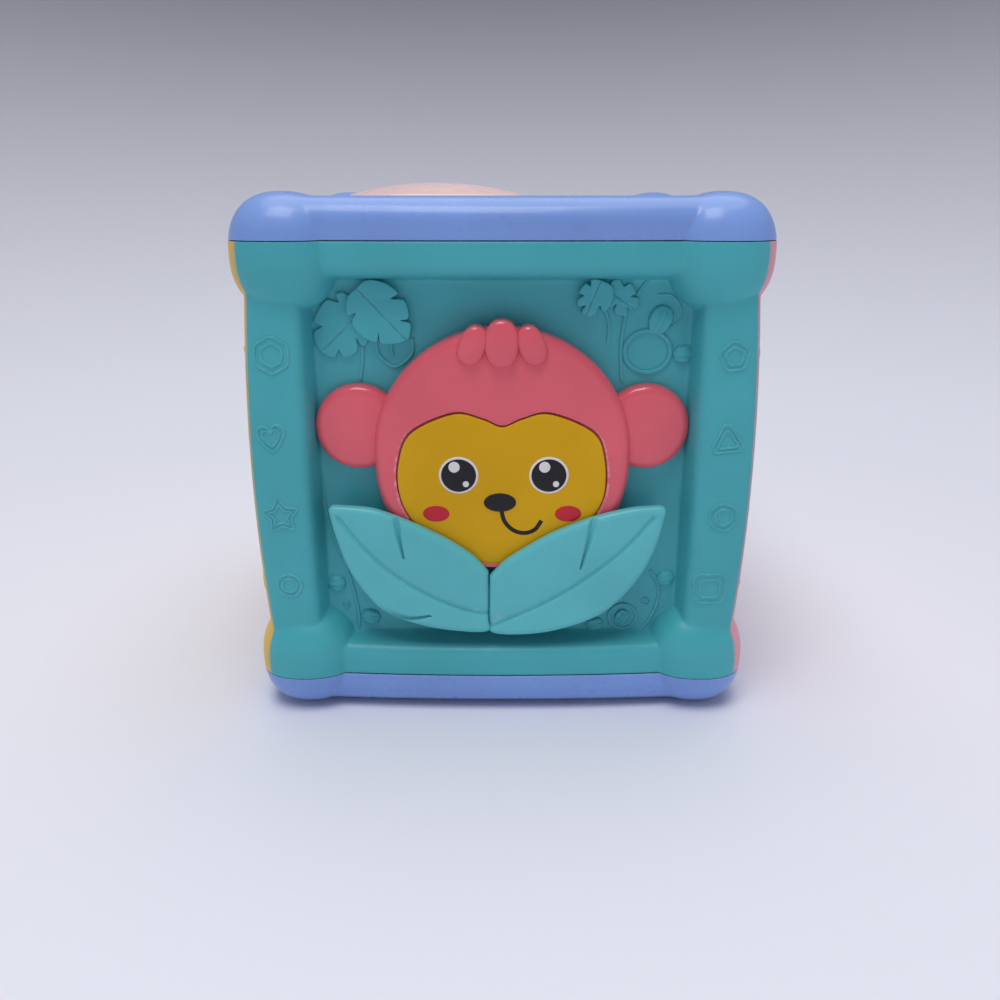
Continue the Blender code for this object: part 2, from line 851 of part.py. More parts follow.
def drum():
    base = top_floor
    ring = tube_profile(bezel_radius, drum_radius + fit, base + fit, base + bezel_height)
    piece("drum_bezel", turned(ring, rim_sides, "bezel", loop=True), ORANGE, TOP, drum_u)
    skirt_low = base + drum_travel + fit * 2
    edge = high_seam + drum_edge_rise
    peak = high_seam + drum_peak
    stem_low = top_floor_back - drum_stem_reach
    inner = drum_radius - drum_skin
    profile = [
        (drum_stem_radius, stem_low),
        (drum_stem_radius, peak - drum_skin),
        (inner * 0.6, peak - drum_skin * 1.6),
        (inner, edge - drum_skin),
        (inner, skirt_low),
        (drum_radius, skirt_low),
        (drum_radius, edge - drum_skin),
        (drum_radius * 0.97, edge),
        (drum_radius * 0.75, edge + (peak - edge) * 0.50),
        (drum_radius * 0.45, edge + (peak - edge) * 0.84),
        (drum_radius * 0.15, peak),
    ]
    piece("drum_cap", turned(profile, rim_sides, "cap"), BLUSH, TOP, drum_u)
    spring = tube_profile(drum_spring_radius, drum_spring_bore, base + fit, peak - drum_skin * 2)
    piece("drum_spring", turned(spring, small_sides, "spring", loop=True), STEEL, TOP, drum_u)


def key_places():
    return [(index - (key_count - 1) / 2) * key_pitch for index in range(key_count)]


def keys():
    low = top_floor + key_travel + fit * 2
    high = low + key_height
    colours = (ORANGE, YELLOW, MINT)
    for index, v in enumerate(key_places(), 1):
        half_u = key_width / 2
        half_v = key_depth / 2
        rings = [
            [(a, b, low) for a, b in rounded(half_u, half_v, key_edge)],
            [(a, b, high - key_edge / 2) for a, b in rounded(half_u, half_v, key_edge)],
            [(a, b, high) for a, b in rounded(half_u - key_edge / 2, half_v - key_edge / 2, key_edge)],
        ]
        obj = piece("key_%d" % index, loft(rings, "key"), colours[index % len(colours)], TOP, key_u, v)
        stem = circle(key_stem_radius, small_sides)
        join(obj, prism(stem, top_floor_back - key_stem_reach, low + key_height / 2, "stem"), "stem")
        profile = tube_profile(key_spring_radius, key_spring_bore, top_floor + fit, low - fit)
        piece("key_spring_%d" % index, turned(profile, small_sides, "spring", loop=True), STEEL, TOP, key_u, v)


def standoff_places():
    return [(standoff_place_u * side, standoff_place_v * rise) for side in (-1, 1) for rise in (-1, 1)]


def circuit_board():
    top = top_floor_back - board_drop
    outline = centred(board_half_width, board_half_depth)
    obj = piece("circuit_board", prism(outline, top - board_thickness, top, "board"), BOARD_GREEN, TOP)
    places = [(key_u, v) for v in key_places()] + [(drum_u, 0)]
    pads = [centred(button_half, button_half, u, v) for u, v in places]
    join(obj, prisms(pads, top - board_thickness / 2, top + button_height, "buttons"), "buttons")


def make_top_lid():
    made = lid("top_lid", TOP, high_seam, BLUE)
    holes = [circle(drum_stem_radius + running, small_sides, drum_u, 0)]
    holes += [circle(key_stem_radius + running, small_sides, key_u, v) for v in key_places()]
    cut(made, prisms(holes, top_floor_back - overrun, top_floor + wall, "holes"), "stem_holes")
    legs = [circle(standoff_radius, small_sides, u, v) for u, v in standoff_places()]
    leg_low = top_floor_back - board_drop + fit
    join(made, prisms(legs, leg_low, top_floor_back + wall / 2, "legs"), "standoffs")


# Bottom face, in whose own frame w is the height with its sign turned


def flipped(height):
    return -height


def bay_halves():
    return bay_length / 2, cell_pitch * cell_count / 2


def door_limits(margin):
    half_u, half_v = bay_halves()
    left = bay_centre_u - half_u - margin
    right = bay_centre_u + half_u + pillar_length + margin
    return rectangle(left, right, -half_v - margin, half_v + margin)


def door_screw_place():
    return bay_centre_u + bay_length / 2 + pillar_length / 2


def make_bottom_lid():
    made = lid("bottom_lid", BOTTOM, flipped(low_seam), BLUE)
    deep = flipped(bottom_floor_back)
    outer = flipped(bottom_floor)
    foot = prism(centred(cube_width, cube_width), flipped(0), cube_width, "ground")
    cut(made, foot, "ground")
    holes = [door_limits(0)]
    first = -(grille_count - 1) / 2
    for index in range(grille_count):
        v = (first + index) * grille_pitch
        holes.append(centred(grille_slot_length / 2, grille_slot_width / 2, speaker_u, v))
    knob_half = knob_length / 2 + running
    holes.append(rectangle(switch_u - knob_half, switch_u + knob_half + switch_travel, *knob_span()))
    for u, v in post_corners():
        holes.append(circle(screw_shank_radius + screw_clearance, small_sides, u, v))
    cut(made, prisms(holes, deep - overrun, outer + overrun / 2, "holes"), "holes")


def knob_span():
    """Low and high v of the knob's slot in the bottom face's frame, whose v is turned over."""
    half = knob_width / 2 + running
    return -switch_v - half, -switch_v + half


def battery_parts():
    low = bottom_floor_back + fit
    half_u, half_v = bay_halves()
    roof = low + bay_height
    left = bay_centre_u - half_u
    right = bay_centre_u + half_u
    outer = rectangle(left - box_wall, right + pillar_length + box_wall, -half_v - box_wall, half_v + box_wall)
    box = piece("battery_box", prism(outer, low, roof + box_wall, "box"), WHITE, TOP)
    bay = rectangle(left, right, -half_v, half_v)
    cut(box, prism(bay, low - overrun, roof, "bay"), "bay")
    screw_hole = circle(screw_shank_radius + screw_clearance, small_sides, door_screw_place(), 0)
    cut(box, prism(screw_hole, low - overrun, roof - box_wall, "hole"), "screw_hole")
    door_high = bottom_floor + door_thickness
    door = piece("battery_door", prism(door_limits(-fit), bottom_floor, door_high, "door"), BLUE, TOP)
    cut(door, prism(screw_hole, bottom_floor - overrun, door_high + overrun, "hole"), "screw_hole")
    head_low = bottom_floor - fit - screw_head_height
    piece("battery_door_screw", screw_mesh(head_low, 1, screw_length * 0.8), STEEL, TOP, door_screw_place())
    cell_height = door_high + fit + cell_radius
    for index in range(cell_count):
        v = (index - (cell_count - 1) / 2) * cell_pitch
        profile = [
            (cell_radius, -cell_length / 2),
            (cell_radius, cell_length / 2 - fit),
            (cell_radius * 0.4, cell_length / 2 - fit),
            (cell_radius * 0.4, cell_length / 2 + fit * 2),
        ]
        mesh = turned(profile, small_sides, "cell")
        mesh.transform(Matrix.Rotation(math.pi / 2 * (-1) ** index, 4, "Y"))
        mesh.transform(Matrix.Translation((0, 0, cell_height)))
        piece("battery_cell_%d" % (index + 1), mesh, COPPER_CELL, TOP, bay_centre_u, v)


def speaker_and_switch():
    low = bottom_floor_back + fit
    profile = [
        (speaker_radius, low),
        (speaker_radius, low + speaker_height * 0.3),
        (speaker_magnet_radius, low + speaker_height * 0.7),
        (speaker_magnet_radius, low + speaker_height),
    ]
    piece("speaker", turned(profile, round_sides, "speaker"), BLACK, TOP, speaker_u)
    half_u = switch_body_length / 2
    centre = switch_u + switch_travel / 2
    body = centred(half_u, switch_body_width / 2, centre, switch_v)
    switch_low = low + fit
    piece("switch_body", prism(body, switch_low, switch_low + switch_body_height, "switch"), BLACK, TOP)
    knob = centred(knob_length / 2, knob_width / 2)
    low_end = bottom_floor - knob_rise
    piece("switch_knob", prism(knob, low_end, switch_low - fit, "knob"), BLACK, TOP, switch_u, switch_v)


def power_lead():
    """The lead inside, from the roof of the battery box up to the board."""
    half_v = bay_halves()[1]
    start = bottom_floor_back + fit + bay_height + box_wall + fit
    end = top_floor_back - board_drop - board_thickness - fit
    v = half_v / 2
    count = lead_steps
    curve = bpy.data.curves.new("power_lead", "CURVE")
    curve.dimensions = "3D"
    curve.bevel_depth = lead_radius
    curve.bevel_resolution = 2
    curve.use_fill_caps = True
    spline = curve.splines.new("POLY")
    spline.points.add(count)
    for index in range(count + 1):
        share = index / count
        bulge = lead_bulge * math.sin(math.pi * share) ** 2
        spline.points[index].co = (bulge, v, start + (end - start) * share, 1)
    obj = bpy.data.objects.new("power_lead", curve)
    bpy.context.scene.collection.objects.link(obj)
    curve.materials.append(material("power_lead", ORANGE))


# Left face: three meshing gears


def involute(angle):
    return math.tan(angle) - angle


def gear_outline(teeth, phase):
    """Involute teeth with backlash. One tooth's middle points along phase."""
    pitch_radius = gear_module * teeth / 2
    base_radius = pitch_radius * math.cos(pressure_angle)
    tip = pitch_radius + gear_addendum
    root = pitch_radius - gear_dedendum
    pitch_half = math.pi / 2 / teeth - gear_backlash / 2 / pitch_radius
    flank = []
    low = max(base_radius, root + gear_backlash / 2)
    for step in range(4):
        radius = low + (tip - low) * step / 3
        spread = involute(pressure_angle) - involute(math.acos(min(1, base_radius / radius)))
        flank.append((radius, pitch_half + spread))
    flank.insert(0, (root, flank[0][1] * 1.05))
    points = []
    for tooth in range(teeth):
        middle_angle = phase + 2 * math.pi * tooth / teeth
        for radius, half in flank:
            points.append((radius, middle_angle - half))
        for radius, half in reversed(flank):
            points.append((radius, middle_angle + half))
    return [(radius * math.cos(angle), radius * math.sin(angle)) for radius, angle in points]


def gear_layout():
    """Centre, tooth count and phase of each gear, in mesh at rest."""
    u, v = first_gear_u, first_gear_v
    phase = gear_bearings[0]
    layout = [(u, v, gear_teeth[0], phase)]
    for index, bearing in enumerate(gear_bearings):
        teeth, mate = gear_teeth[index], gear_teeth[index + 1]
        distance = gear_module * (teeth + mate) / 2
        u += distance * math.cos(bearing)
        v += distance * math.sin(bearing)
        into_pitch = (bearing - phase) * teeth / (2 * math.pi)
        phase = bearing + math.pi + (into_pitch + 0.5) * 2 * math.pi / mate
        layout.append((u, v, mate, phase))
    return layout


def axle_mesh(height, radius, head_radius, head_height):
    """A headed pin through the panel's floor. Height is the bearing length under its head."""
    top = floor_face + fit + height
    profile = [
        (axle_tail_radius, floor_back - axle_tail_length),
        (axle_tail_radius, floor_face + fit),
        (radius, floor_face + fit),
        (radius, top),
        (head_radius, top),
        (head_radius, top + head_height * 0.5),
        (head_radius * 0.7, top + head_height),
    ]
    return turned(profile, pin_sides, "axle")


def axle_hole(u, v):
    return circle(axle_tail_radius + fit, small_sides, u, v, math.pi / small_sides)


def gears():
    colours = (ORANGE, BLUE, ROSE)
    low = floor_face + fit * 2
    high = low + gear_thickness
    bearing = gear_thickness + fit * 2
    for index, (u, v, teeth, phase) in enumerate(gear_layout(), 1):
        outline = gear_outline(teeth, phase)
        obj = piece("gear_%d" % index, prism(outline, low, high, "gear"), colours[index - 1], LEFT, u, v)
        if index == 1:
            grip = circle(grip_radius, small_sides, *polar(grip_place, grip_turn))
            join(obj, prism(grip, high - gear_thickness / 2, high + grip_rise, "grip"), "grip")
        bore = circle(axle_radius + axle_running, round_sides)
        cut(obj, prism(bore, low - overrun, high + overrun, "bore"), "bore")
        axle = axle_mesh(bearing, axle_radius, axle_head_radius, axle_head_height)
        piece("gear_axle_%d" % index, axle, CREAM, LEFT, u, v)


def polar(radius, angle):
    return radius * math.cos(angle), radius * math.sin(angle)


def rotated(outline, turn):
    return [
        (u * math.cos(turn) - v * math.sin(turn), u * math.sin(turn) + v * math.cos(turn))
        for u, v in outline
    ]


# Right face: a clock


def hand_outline(length):
    """An arrow that starts round its hub and points up."""
    hub = circle(hand_hub_radius, round_sides)
    body = [(u, v) for u, v in hub if v < hand_hub_radius / 2]
    body.sort(key=lambda point: math.atan2(point[0], -point[1]))
    neck = length - hand_tip_half_width * 2
    arrow = [
        (hand_half_width, hand_hub_radius),
        (hand_half_width, neck),
        (hand_tip_half_width, neck),
        (0, length),
        (-hand_tip_half_width, neck),
        (-hand_half_width, neck),
        (-hand_half_width, hand_hub_radius),
    ]
    return body + arrow


def clock():
    low = floor_face + fit
    dial_top = low + dial_thickness
    dial = piece("clock_dial", prism(circle(dial_radius, rim_sides), low, dial_top, "dial"), CREAM, RIGHT)
    bore = circle(clock_pin_radius + axle_running, round_sides)
    cut(dial, prism(bore, low - overrun, dial_top + overrun, "bore"), "bore")
    level = dial_top + fit
    looks = {
        "hour_hand": (hour_hand_length, hour_hand_turn, BLUE),
        "minute_hand": (minute_hand_length, minute_hand_turn, PINK),
    }
    for name, (length, turn, look) in looks.items():
        outline = rotated(hand_outline(length), turn)
        hand = piece(name, prism(outline, level, level + hand_thickness, name), look, RIGHT)
        cut(hand, prism(bore, level - overrun, level + overrun, "bore"), "bore")
        level += hand_thickness + fit
    height = level - floor_face - fit
    pin = axle_mesh(height, clock_pin_radius, clock_head_radius, clock_head_height)
    piece("clock_pin", pin, YELLOW, RIGHT)


# Back face: a flower that spins and two buttons that slide


def flower_outline():
    points = []
    count = petal_count * 8
    for index in range(count):
        angle = 2 * math.pi * index / count
        swell = abs(math.cos(angle * petal_count / 2)) ** 0.6
        reach = flower_inner_radius + (flower_radius - flower_inner_radius) * swell
        points.append(polar(reach, angle))
    return points


def flower():
    low = floor_face + fit * 2
    high = low + flower_thickness
    obj = piece("flower_spinner", prism(flower_outline(), low, high, "flower"), PINK, BACK, 0, flower_v)
    bore = circle(axle_radius + axle_running, round_sides)
    cut(obj, prism(bore, low - overrun, high + overrun, "bore"), "bore")
    pin = axle_mesh(flower_thickness + fit * 2, axle_radius, axle_head_radius, axle_head_height)
    piece("spinner_pin", pin, YELLOW, BACK, 0, flower_v)


def slide_heights():
    return [slide_top_v - index * slide_pitch for index in range(slide_count)]


def slot_outline(v):
    half_length = slide_half_length + slide_stem_radius + running
    return rounded(half_length, slide_slot_half, slide_slot_half - fit / 10, 0, v)


def slides():
    looks = (ORANGE, BLUE)
    low = floor_face + running
    back = floor_back - running
    for index, v in enumerate(slide_heights(), 1):
        start_u = slide_start(index)
        profile = [
            (slide_stem_radius, back),
            (slide_stem_radius, low),
            (slide_button_radius, low),
            (slide_button_radius, low + slide_button_height * 0.7),
            (slide_button_radius * 0.8, low + slide_button_height),
        ]
        mesh = turned(profile, round_sides, "button")
        piece("slide_button_%d" % index, mesh, looks[index - 1], BACK, start_u, v)
        clip_top = back - fit
        disc = circle(slide_clip_radius, small_sides)
        clip = prism(disc, clip_top - slide_clip_thickness, clip_top, "clip")
        piece("slide_clip_%d" % index, clip, WHITE, BACK, start_u, v)


def slide_start(index):
    """The buttons rest at opposite ends of their slots."""
    return slide_half_length * (-1 if index % 2 else 1)


def make_panels():
    slot = rectangle(
        -stem_half_width - running,
        stem_half_width + running,
        head_centre_v - stem_half_height - head_travel - running,
        head_centre_v + stem_half_height + running,
    )
    side_panel("front_panel", FRONT, TEAL, [slot])
    side_panel("left_panel", LEFT, YELLOW, [axle_hole(u, v) for u, v, _, _ in gear_layout()])
    side_panel("right_panel", RIGHT, ROSE, [axle_hole(0, 0)])
    back_holes = [slot_outline(v) for v in slide_heights()] + [axle_hole(0, flower_v)]
    side_panel("back_panel", BACK, MINT, back_holes)


def main():
    clear_scene()
    make_panels()
    make_top_lid()
    make_bottom_lid()
    posts_and_screws()
    monkey_head()
    carriage()
    guide()
    leaf("left_leaf", -1)
    leaf("right_leaf", 1)
    drum()
    keys()
    circuit_board()
    battery_parts()
    speaker_and_switch()
    power_lead()
    gears()
    clock()
    flower()
    slides()


main()
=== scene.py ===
"""The looks of a child's activity cube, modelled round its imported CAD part.

Each side of the cube is drawn in its own face frame: u runs to the right of someone
facing that side, v runs up and w points out. A piece is shaped in that frame in metres,
then turned into the cube's own frame.
"""

import json
import logging
import math
from collections.abc import Callable, Sequence
from dataclasses import dataclass
from enum import Enum

import bpy
import numpy as np
from mathutils import Matrix, Vector

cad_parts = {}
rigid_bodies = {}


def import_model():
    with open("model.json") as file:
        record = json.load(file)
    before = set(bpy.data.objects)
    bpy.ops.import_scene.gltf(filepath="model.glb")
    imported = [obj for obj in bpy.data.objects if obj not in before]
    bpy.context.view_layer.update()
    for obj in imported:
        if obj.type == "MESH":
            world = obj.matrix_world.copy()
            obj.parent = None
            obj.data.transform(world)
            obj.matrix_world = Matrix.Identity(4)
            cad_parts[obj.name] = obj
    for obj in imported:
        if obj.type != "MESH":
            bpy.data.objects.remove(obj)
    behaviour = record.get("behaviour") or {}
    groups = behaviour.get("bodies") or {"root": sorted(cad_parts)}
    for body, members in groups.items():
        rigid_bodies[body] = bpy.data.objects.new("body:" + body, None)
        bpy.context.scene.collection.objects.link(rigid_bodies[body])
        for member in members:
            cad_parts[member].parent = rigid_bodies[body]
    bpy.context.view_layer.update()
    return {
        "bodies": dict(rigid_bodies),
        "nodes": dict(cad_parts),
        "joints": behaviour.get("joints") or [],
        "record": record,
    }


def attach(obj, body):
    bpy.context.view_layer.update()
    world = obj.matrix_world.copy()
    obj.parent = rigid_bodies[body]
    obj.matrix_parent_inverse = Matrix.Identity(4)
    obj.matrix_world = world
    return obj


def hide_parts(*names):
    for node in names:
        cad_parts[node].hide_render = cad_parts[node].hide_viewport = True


log = logging.getLogger("cube")

Point = tuple[float, ...]
Height = Callable[[np.ndarray, np.ndarray], np.ndarray]
Outline = Callable[[np.ndarray], np.ndarray]

LOW_SEAM = 0.0135
HIGH_SEAM = 0.1557
MIDDLE = 0.0846
PANEL_HALF = 0.0711
SEAM_GAP = 0.0003
RAIL_FACE = 0.0780
RAIL_BOW = 0.0025
RECESS_HALF = 0.0605
PANEL_FLOOR = 0.0685
WALL = 0.0022
LID_RISE = 0.0126
LID_FLOOR_RISE = 0.0036
BOSS_PLACE = 0.0665
BOSS_HALF = 0.0165
BOSS_TALL = 0.0179
BOSS_INSET = 0.0040
BOSS_POWER = 2.4
OUTER_REACH = 0.0830


class Face(Enum):
    """The six sides of the cube, with the axes that u, v and w become."""

    FRONT = ((1, 0, 0), (0, 0, 1), (0, -1, 0))
    RIGHT = ((0, 1, 0), (0, 0, 1), (1, 0, 0))
    BACK = ((-1, 0, 0), (0, 0, 1), (0, 1, 0))
    LEFT = ((0, -1, 0), (0, 0, 1), (-1, 0, 0))
    TOP = ((1, 0, 0), (0, 1, 0), (0, 0, 1))
    BOTTOM = ((1, 0, 0), (0, -1, 0), (0, 0, -1))

    def matrix(self) -> Matrix:
        """The turn and shift from this face's frame into the cube's frame."""
        turn = Matrix(self.value).transposed().to_4x4()
        upright = self in (Face.FRONT, Face.RIGHT, Face.BACK, Face.LEFT)
        return Matrix.Translation((0, 0, MIDDLE if upright else 0)) @ turn


@dataclass(frozen=True)
class Finish:
    """How one moulded material looks.

    Attributes:
        name: The material's name, after the real material.
        colour: The sRGB colour as six hexadecimal digits.
        slot: The record's material slot that it belongs to. It is not used.
        roughness: The mean roughness of the surface.
        mottle: How strongly the colour drifts over the surface, as a share.
        grain: The height of the moulded texture in metres.
        wear: How far an edge lightens, as a share.
        metallic: 1 for bare metal.
        coat: The weight of a clear gloss on top.
        shine: The strength of the bare surface's reflection.
    """

    name: str
    colour: str
    slot: str
    roughness: float = 0.34
    mottle: float = 0.05
    grain: float = 0.000012
    wear: float = 0.10
    metallic: float = 0.0
    coat: float = 0.0
    shine: float = 0.3


FINISHES = {
    finish.name: finish
    for finish in (
        # Polished mould: soft highlights along the lids' round rails.
        Finish("blue_abs", "7FA0E0", "blue_plastic", 0.30, coat=0.15),
        # Satin ABS: even colour with a broad sheen on the frame.
        Finish("teal_abs", "4BAFB8", "teal_plastic", 0.36),
        # Painted light: a paler, lit copy of the panel's teal, so that the proud leaves stand off
        # it.
        Finish("lit_teal_abs", "60BEC4", "leaf_plastic", 0.34),
        # Satin ABS in the sides' nursery colours.
        Finish("yellow_abs", "E3B94E", "yellow_plastic", 0.36),
        Finish("rose_abs", "E59AA8", "rose_plastic", 0.36),
        Finish("mint_abs", "8CC9A1", "mint_plastic", 0.36),
        # Glossy ABS: the small bright spots on the head and the ears.
        Finish("pink_abs", "E8606E", "pink_plastic", 0.22, grain=0.000006, coat=0.35),
        # Matt ABS with a weak sheen, which keeps the face a deep colour.
        Finish("mustard_abs", "DDA808", "mustard_plastic", 0.38, shine=0.2),
        # Satin ABS on the moving toys.
        Finish("orange_abs", "E88A3C", "orange_plastic", 0.32),
        # Milky ABS: the drum's pale skin.
        Finish("blush_abs", "E8C9C6", "blush_plastic", 0.30),
        # Off-white ABS: caps, keys and the clock's dial.
        Finish("cream_abs", "F1E6CF", "cream_plastic", 0.34),
        # Rough unpolished ABS, only inside.
        Finish("inner_abs", "D9D6CE", "inner_plastic", 0.45),
        # Pad-printed ink: crisp and slightly glossy, with no worn edge.
        Finish("black_print", "17161A", "black_plastic", 0.25, wear=0.0),
        Finish("white_print", "E9E6E2", "cream_plastic", 0.30, wear=0.0),
        Finish("cheek_print", "CC2233", "pink_plastic", 0.34, wear=0.0),
        # Zinc-plated steel: bright screw heads and springs.
        Finish("screw_steel", "B9BABD", "screw_steel", 0.28, metallic=1.0),
        # Bare zinc cans, only inside.
        Finish("cell_zinc", "A9ABB0", "cell_metal", 0.30, metallic=1.0),
        # Green solder resist, only inside.
        Finish("board_resin", "2E6B47", "board", 0.40),
        # Dull soft PVC, only inside.
        Finish("lead_pvc", "2B2B2E", "lead_rubber", 0.55),
    )
}

# The size of one blotch in metres and the finer layers of each surface pattern.
PATTERNS = {
    "drift": (0.035, 3.0),
    "scuff": (0.0016, 4.0),
    "gloss": (0.006, 5.0),
    # Real mould grain is about 0.05 mm, too fine to show, so it is drawn coarser.
    "grain": (0.0007, 2.0),
}
WORN_RADIUS = 0.0006
WORN_WHITE = 0.45
COAT_ROUGHNESS = 0.12
GLOSS_DRIFT = 0.05


def linear(colour: str) -> tuple[float, float, float, float]:
    """The scene-linear colour of six sRGB hexadecimal digits."""
    parts = [int(colour[at : at + 2], 16) / 255 for at in (0, 2, 4)]
    parts = [c / 12.92 if c <= 0.04045 else ((c + 0.055) / 1.055) ** 2.4 for c in parts]
    return (parts[0], parts[1], parts[2], 1.0)


def add_node(
    tree: bpy.types.NodeTree,
    kind: str,
    settings: dict[str, object] | None = None,
    inputs: dict[str, object] | None = None,
) -> bpy.types.Node:
    """Adds a node to a tree.

    Args:
        tree: The node tree that it goes into.
        kind: The node's type name.
        settings: Properties of the node to set.
        inputs: Socket values by socket name; an output socket is linked.

    Returns:
        The new node.
    """
    node = tree.nodes.new(kind)
    for key, value in (settings or {}).items():
        setattr(node, key, value)
    for key, value in (inputs or {}).items():
        socket = node.inputs[int(key)] if key.isdigit() else node.inputs[key]
        if isinstance(value, bpy.types.NodeSocket):
            tree.links.new(value, socket)
        else:
            socket.default_value = value
    return node


def scaled_colour(colour: Point, share: float) -> Point:
    """A linear colour made lighter or darker by a share."""
    return tuple(min(1.0, c * share) for c in colour[:3]) + (1.0,)


def material(name: str) -> bpy.types.Material:
    """The material of one finish, made on first use."""
    known = bpy.data.materials.get(name)
    if known:
        return known
    finish = FINISHES[name]
    made = bpy.data.materials.new(name)
    made.use_nodes = True
    tree = made.node_tree
    tree.nodes.clear()
    colour = linear(finish.colour)
    place = add_node(tree, "ShaderNodeTexCoord")
    noise = {}
    for label, (size, layers) in PATTERNS.items():
        inputs = {"Vector": place.outputs["Object"], "Scale": 1 / size, "Detail": layers}
        noise[label] = add_node(tree, "ShaderNodeTexNoise", inputs=inputs).outputs[0]
    drift = add_node(tree, "ShaderNodeMapRange", inputs={"0": noise["drift"], "1": 0.35, "2": 0.65})
    body = add_node(
        tree,
        "ShaderNodeMix",
        {"data_type": "RGBA"},
        {
            "0": drift.outputs[0],
            "6": scaled_colour(colour, 1 - finish.mottle),
            "7": scaled_colour(colour, 1 + finish.mottle),
        },
    )
    if finish.wear:
        surface = add_node(tree, "ShaderNodeNewGeometry")
        rounded = add_node(tree, "ShaderNodeBevel", {"samples": 4}, {"Radius": WORN_RADIUS})
        turn = add_node(
            tree,
            "ShaderNodeVectorMath",
            {"operation": "DOT_PRODUCT"},
            {"0": rounded.outputs[0], "1": surface.outputs["Normal"]},
        )
        most = finish.wear * 4
        edge = {"0": turn.outputs["Value"], "1": 0.98, "2": 0.80, "4": most}
        scuff = {"0": noise["scuff"], "1": 0.42, "2": 0.62}
        shares = [
            add_node(tree, "ShaderNodeMapRange", inputs=inputs).outputs[0]
            for inputs in (scuff, edge)
        ]
        worn = add_node(
            tree, "ShaderNodeMath", {"operation": "MULTIPLY"}, {"0": shares[0], "1": shares[1]}
        )
        pale = tuple(c + (1 - c) * WORN_WHITE for c in colour[:3]) + (1.0,)
        body = add_node(
            tree,
            "ShaderNodeMix",
            {"data_type": "RGBA"},
            {"0": worn.outputs[0], "6": body.outputs[2], "7": pale},
        )
    rough = add_node(
        tree,
        "ShaderNodeMapRange",
        inputs={
            "0": noise["gloss"],
            "1": 0.3,
            "2": 0.7,
            "3": finish.roughness - GLOSS_DRIFT,
            "4": finish.roughness + GLOSS_DRIFT,
        },
    )
    grain = add_node(
        tree,
        "ShaderNodeBump",
        inputs={"Strength": 1.0, "Distance": finish.grain, "Height": noise["grain"]},
    )
    shader = add_node(
        tree,
        "ShaderNodeBsdfPrincipled",
        inputs={
            "Base Color": body.outputs[2],
            "Roughness": rough.outputs[0],
            "Metallic": finish.metallic,
            "Normal": grain.outputs[0],
            "Specular IOR Level": finish.shine,
            "Coat Weight": finish.coat,
            "Coat Roughness": COAT_ROUGHNESS,
        },
    )
    add_node(tree, "ShaderNodeOutputMaterial", inputs={"Surface": shader.outputs[0]})
    return made


def deselect_all() -> None:
    """Leaves nothing selected."""
    for obj in bpy.context.selected_objects:
        obj.select_set(False)


def make_active(obj: bpy.types.Object) -> None:
    """Selects one object alone and makes it the active one."""
    deselect_all()
    obj.select_set(True)
    bpy.context.view_layer.objects.active = obj


def apply_modifier(obj: bpy.types.Object, kind: str, **settings: object) -> None:
    """Adds a modifier with these settings and applies it."""
    make_active(obj)
    modifier = obj.modifiers.new(kind.lower(), kind)
    for key, value in settings.items():
        setattr(modifier, key, value)
    bpy.ops.object.modifier_apply(modifier=modifier.name)


def read_points(obj: bpy.types.Object) -> np.ndarray:
    """The vertices of a mesh object as rows of three numbers."""
    points = np.empty(len(obj.data.vertices) * 3, np.float32)
    obj.data.vertices.foreach_get("co", points)
    return points.reshape(-1, 3).astype(np.float64)


def write_points(obj: bpy.types.Object, points: np.ndarray) -> None:
    """Puts the vertices of a mesh object at these places."""
    obj.data.vertices.foreach_set("co", points.astype(np.float32).ravel())
    obj.data.update()


def face_outward(obj: bpy.types.Object) -> None:
    """Merges doubled vertices and turns every face outward."""
    make_active(obj)
    bpy.ops.object.mode_set(mode="EDIT")
    bpy.ops.mesh.select_all(action="SELECT")
    bpy.ops.mesh.remove_doubles(threshold=0.000001)
    bpy.ops.mesh.normals_make_consistent(inside=False)
    bpy.ops.object.mode_set(mode="OBJECT")


def finish_piece(
    obj: bpy.types.Object,
    name: str,
    finish: str,
    body: str,
    face: Face | None = None,
    replaces: Sequence[str] = (),
    angle: float = 40.0,
    lift: float = 0.0,
) -> bpy.types.Object:
    """Turns a shaped piece into the cube's frame and dresses it.

    Args:
        obj: The shaped mesh object, in its face's frame.
        name: The piece's name.
        finish: The name of its finish.
        body: The CAD body that it moves with.
        face: The side whose frame it was shaped in, or None for the cube's frame.
        replaces: The CAD nodes that it stands for.
        angle: The angle in degrees under which edges are shaded smooth.
        lift: How far it is moved out along w first.

    Returns:
        The same object.
    """
    obj.name = name
    obj.data.name = name
    obj.data.transform(Matrix.Translation((0, 0, lift)))
    if face:
        obj.data.transform(face.matrix())
    obj.data.materials.clear()
    obj.data.materials.append(material(finish))
    make_active(obj)
    bpy.ops.object.shade_smooth_by_angle(angle=math.radians(angle))
    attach(obj, body)
    if replaces:
        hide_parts(*replaces)
    log.info("%s: %d faces", name, len(obj.data.polygons))
    return obj


def smooth_path(points: Sequence[Point], cyclic: bool, steps: int = 6) -> np.ndarray:
    """A smooth line through the points.

    Args:
        points: The places to pass through.
        cyclic: Whether the line closes on itself.
        steps: How many places it gets for each given one.

    Returns:
        The places along the line.
    """
    given = np.array(points, float)
    count = len(given)
    spans = count if cyclic else count - 1
    rows = []
    for at in range(spans):
        picks = [at - 1, at, at + 1, at + 2]
        picks = [p % count for p in picks] if cyclic else [min(max(p, 0), count - 1) for p in picks]
        a, b, c, d = (given[p] for p in picks)
        for step in range(steps):
            t = step / steps
            rows.append(
                0.5 * (2 * b + (c - a) * t + (2 * a - 5 * b + 4 * c - d) * t**2)
                + 0.5 * (3 * b - 3 * c + d - a) * t**3
            )
    if not cyclic:
        rows.append(given[-1])
    return np.array(rows)


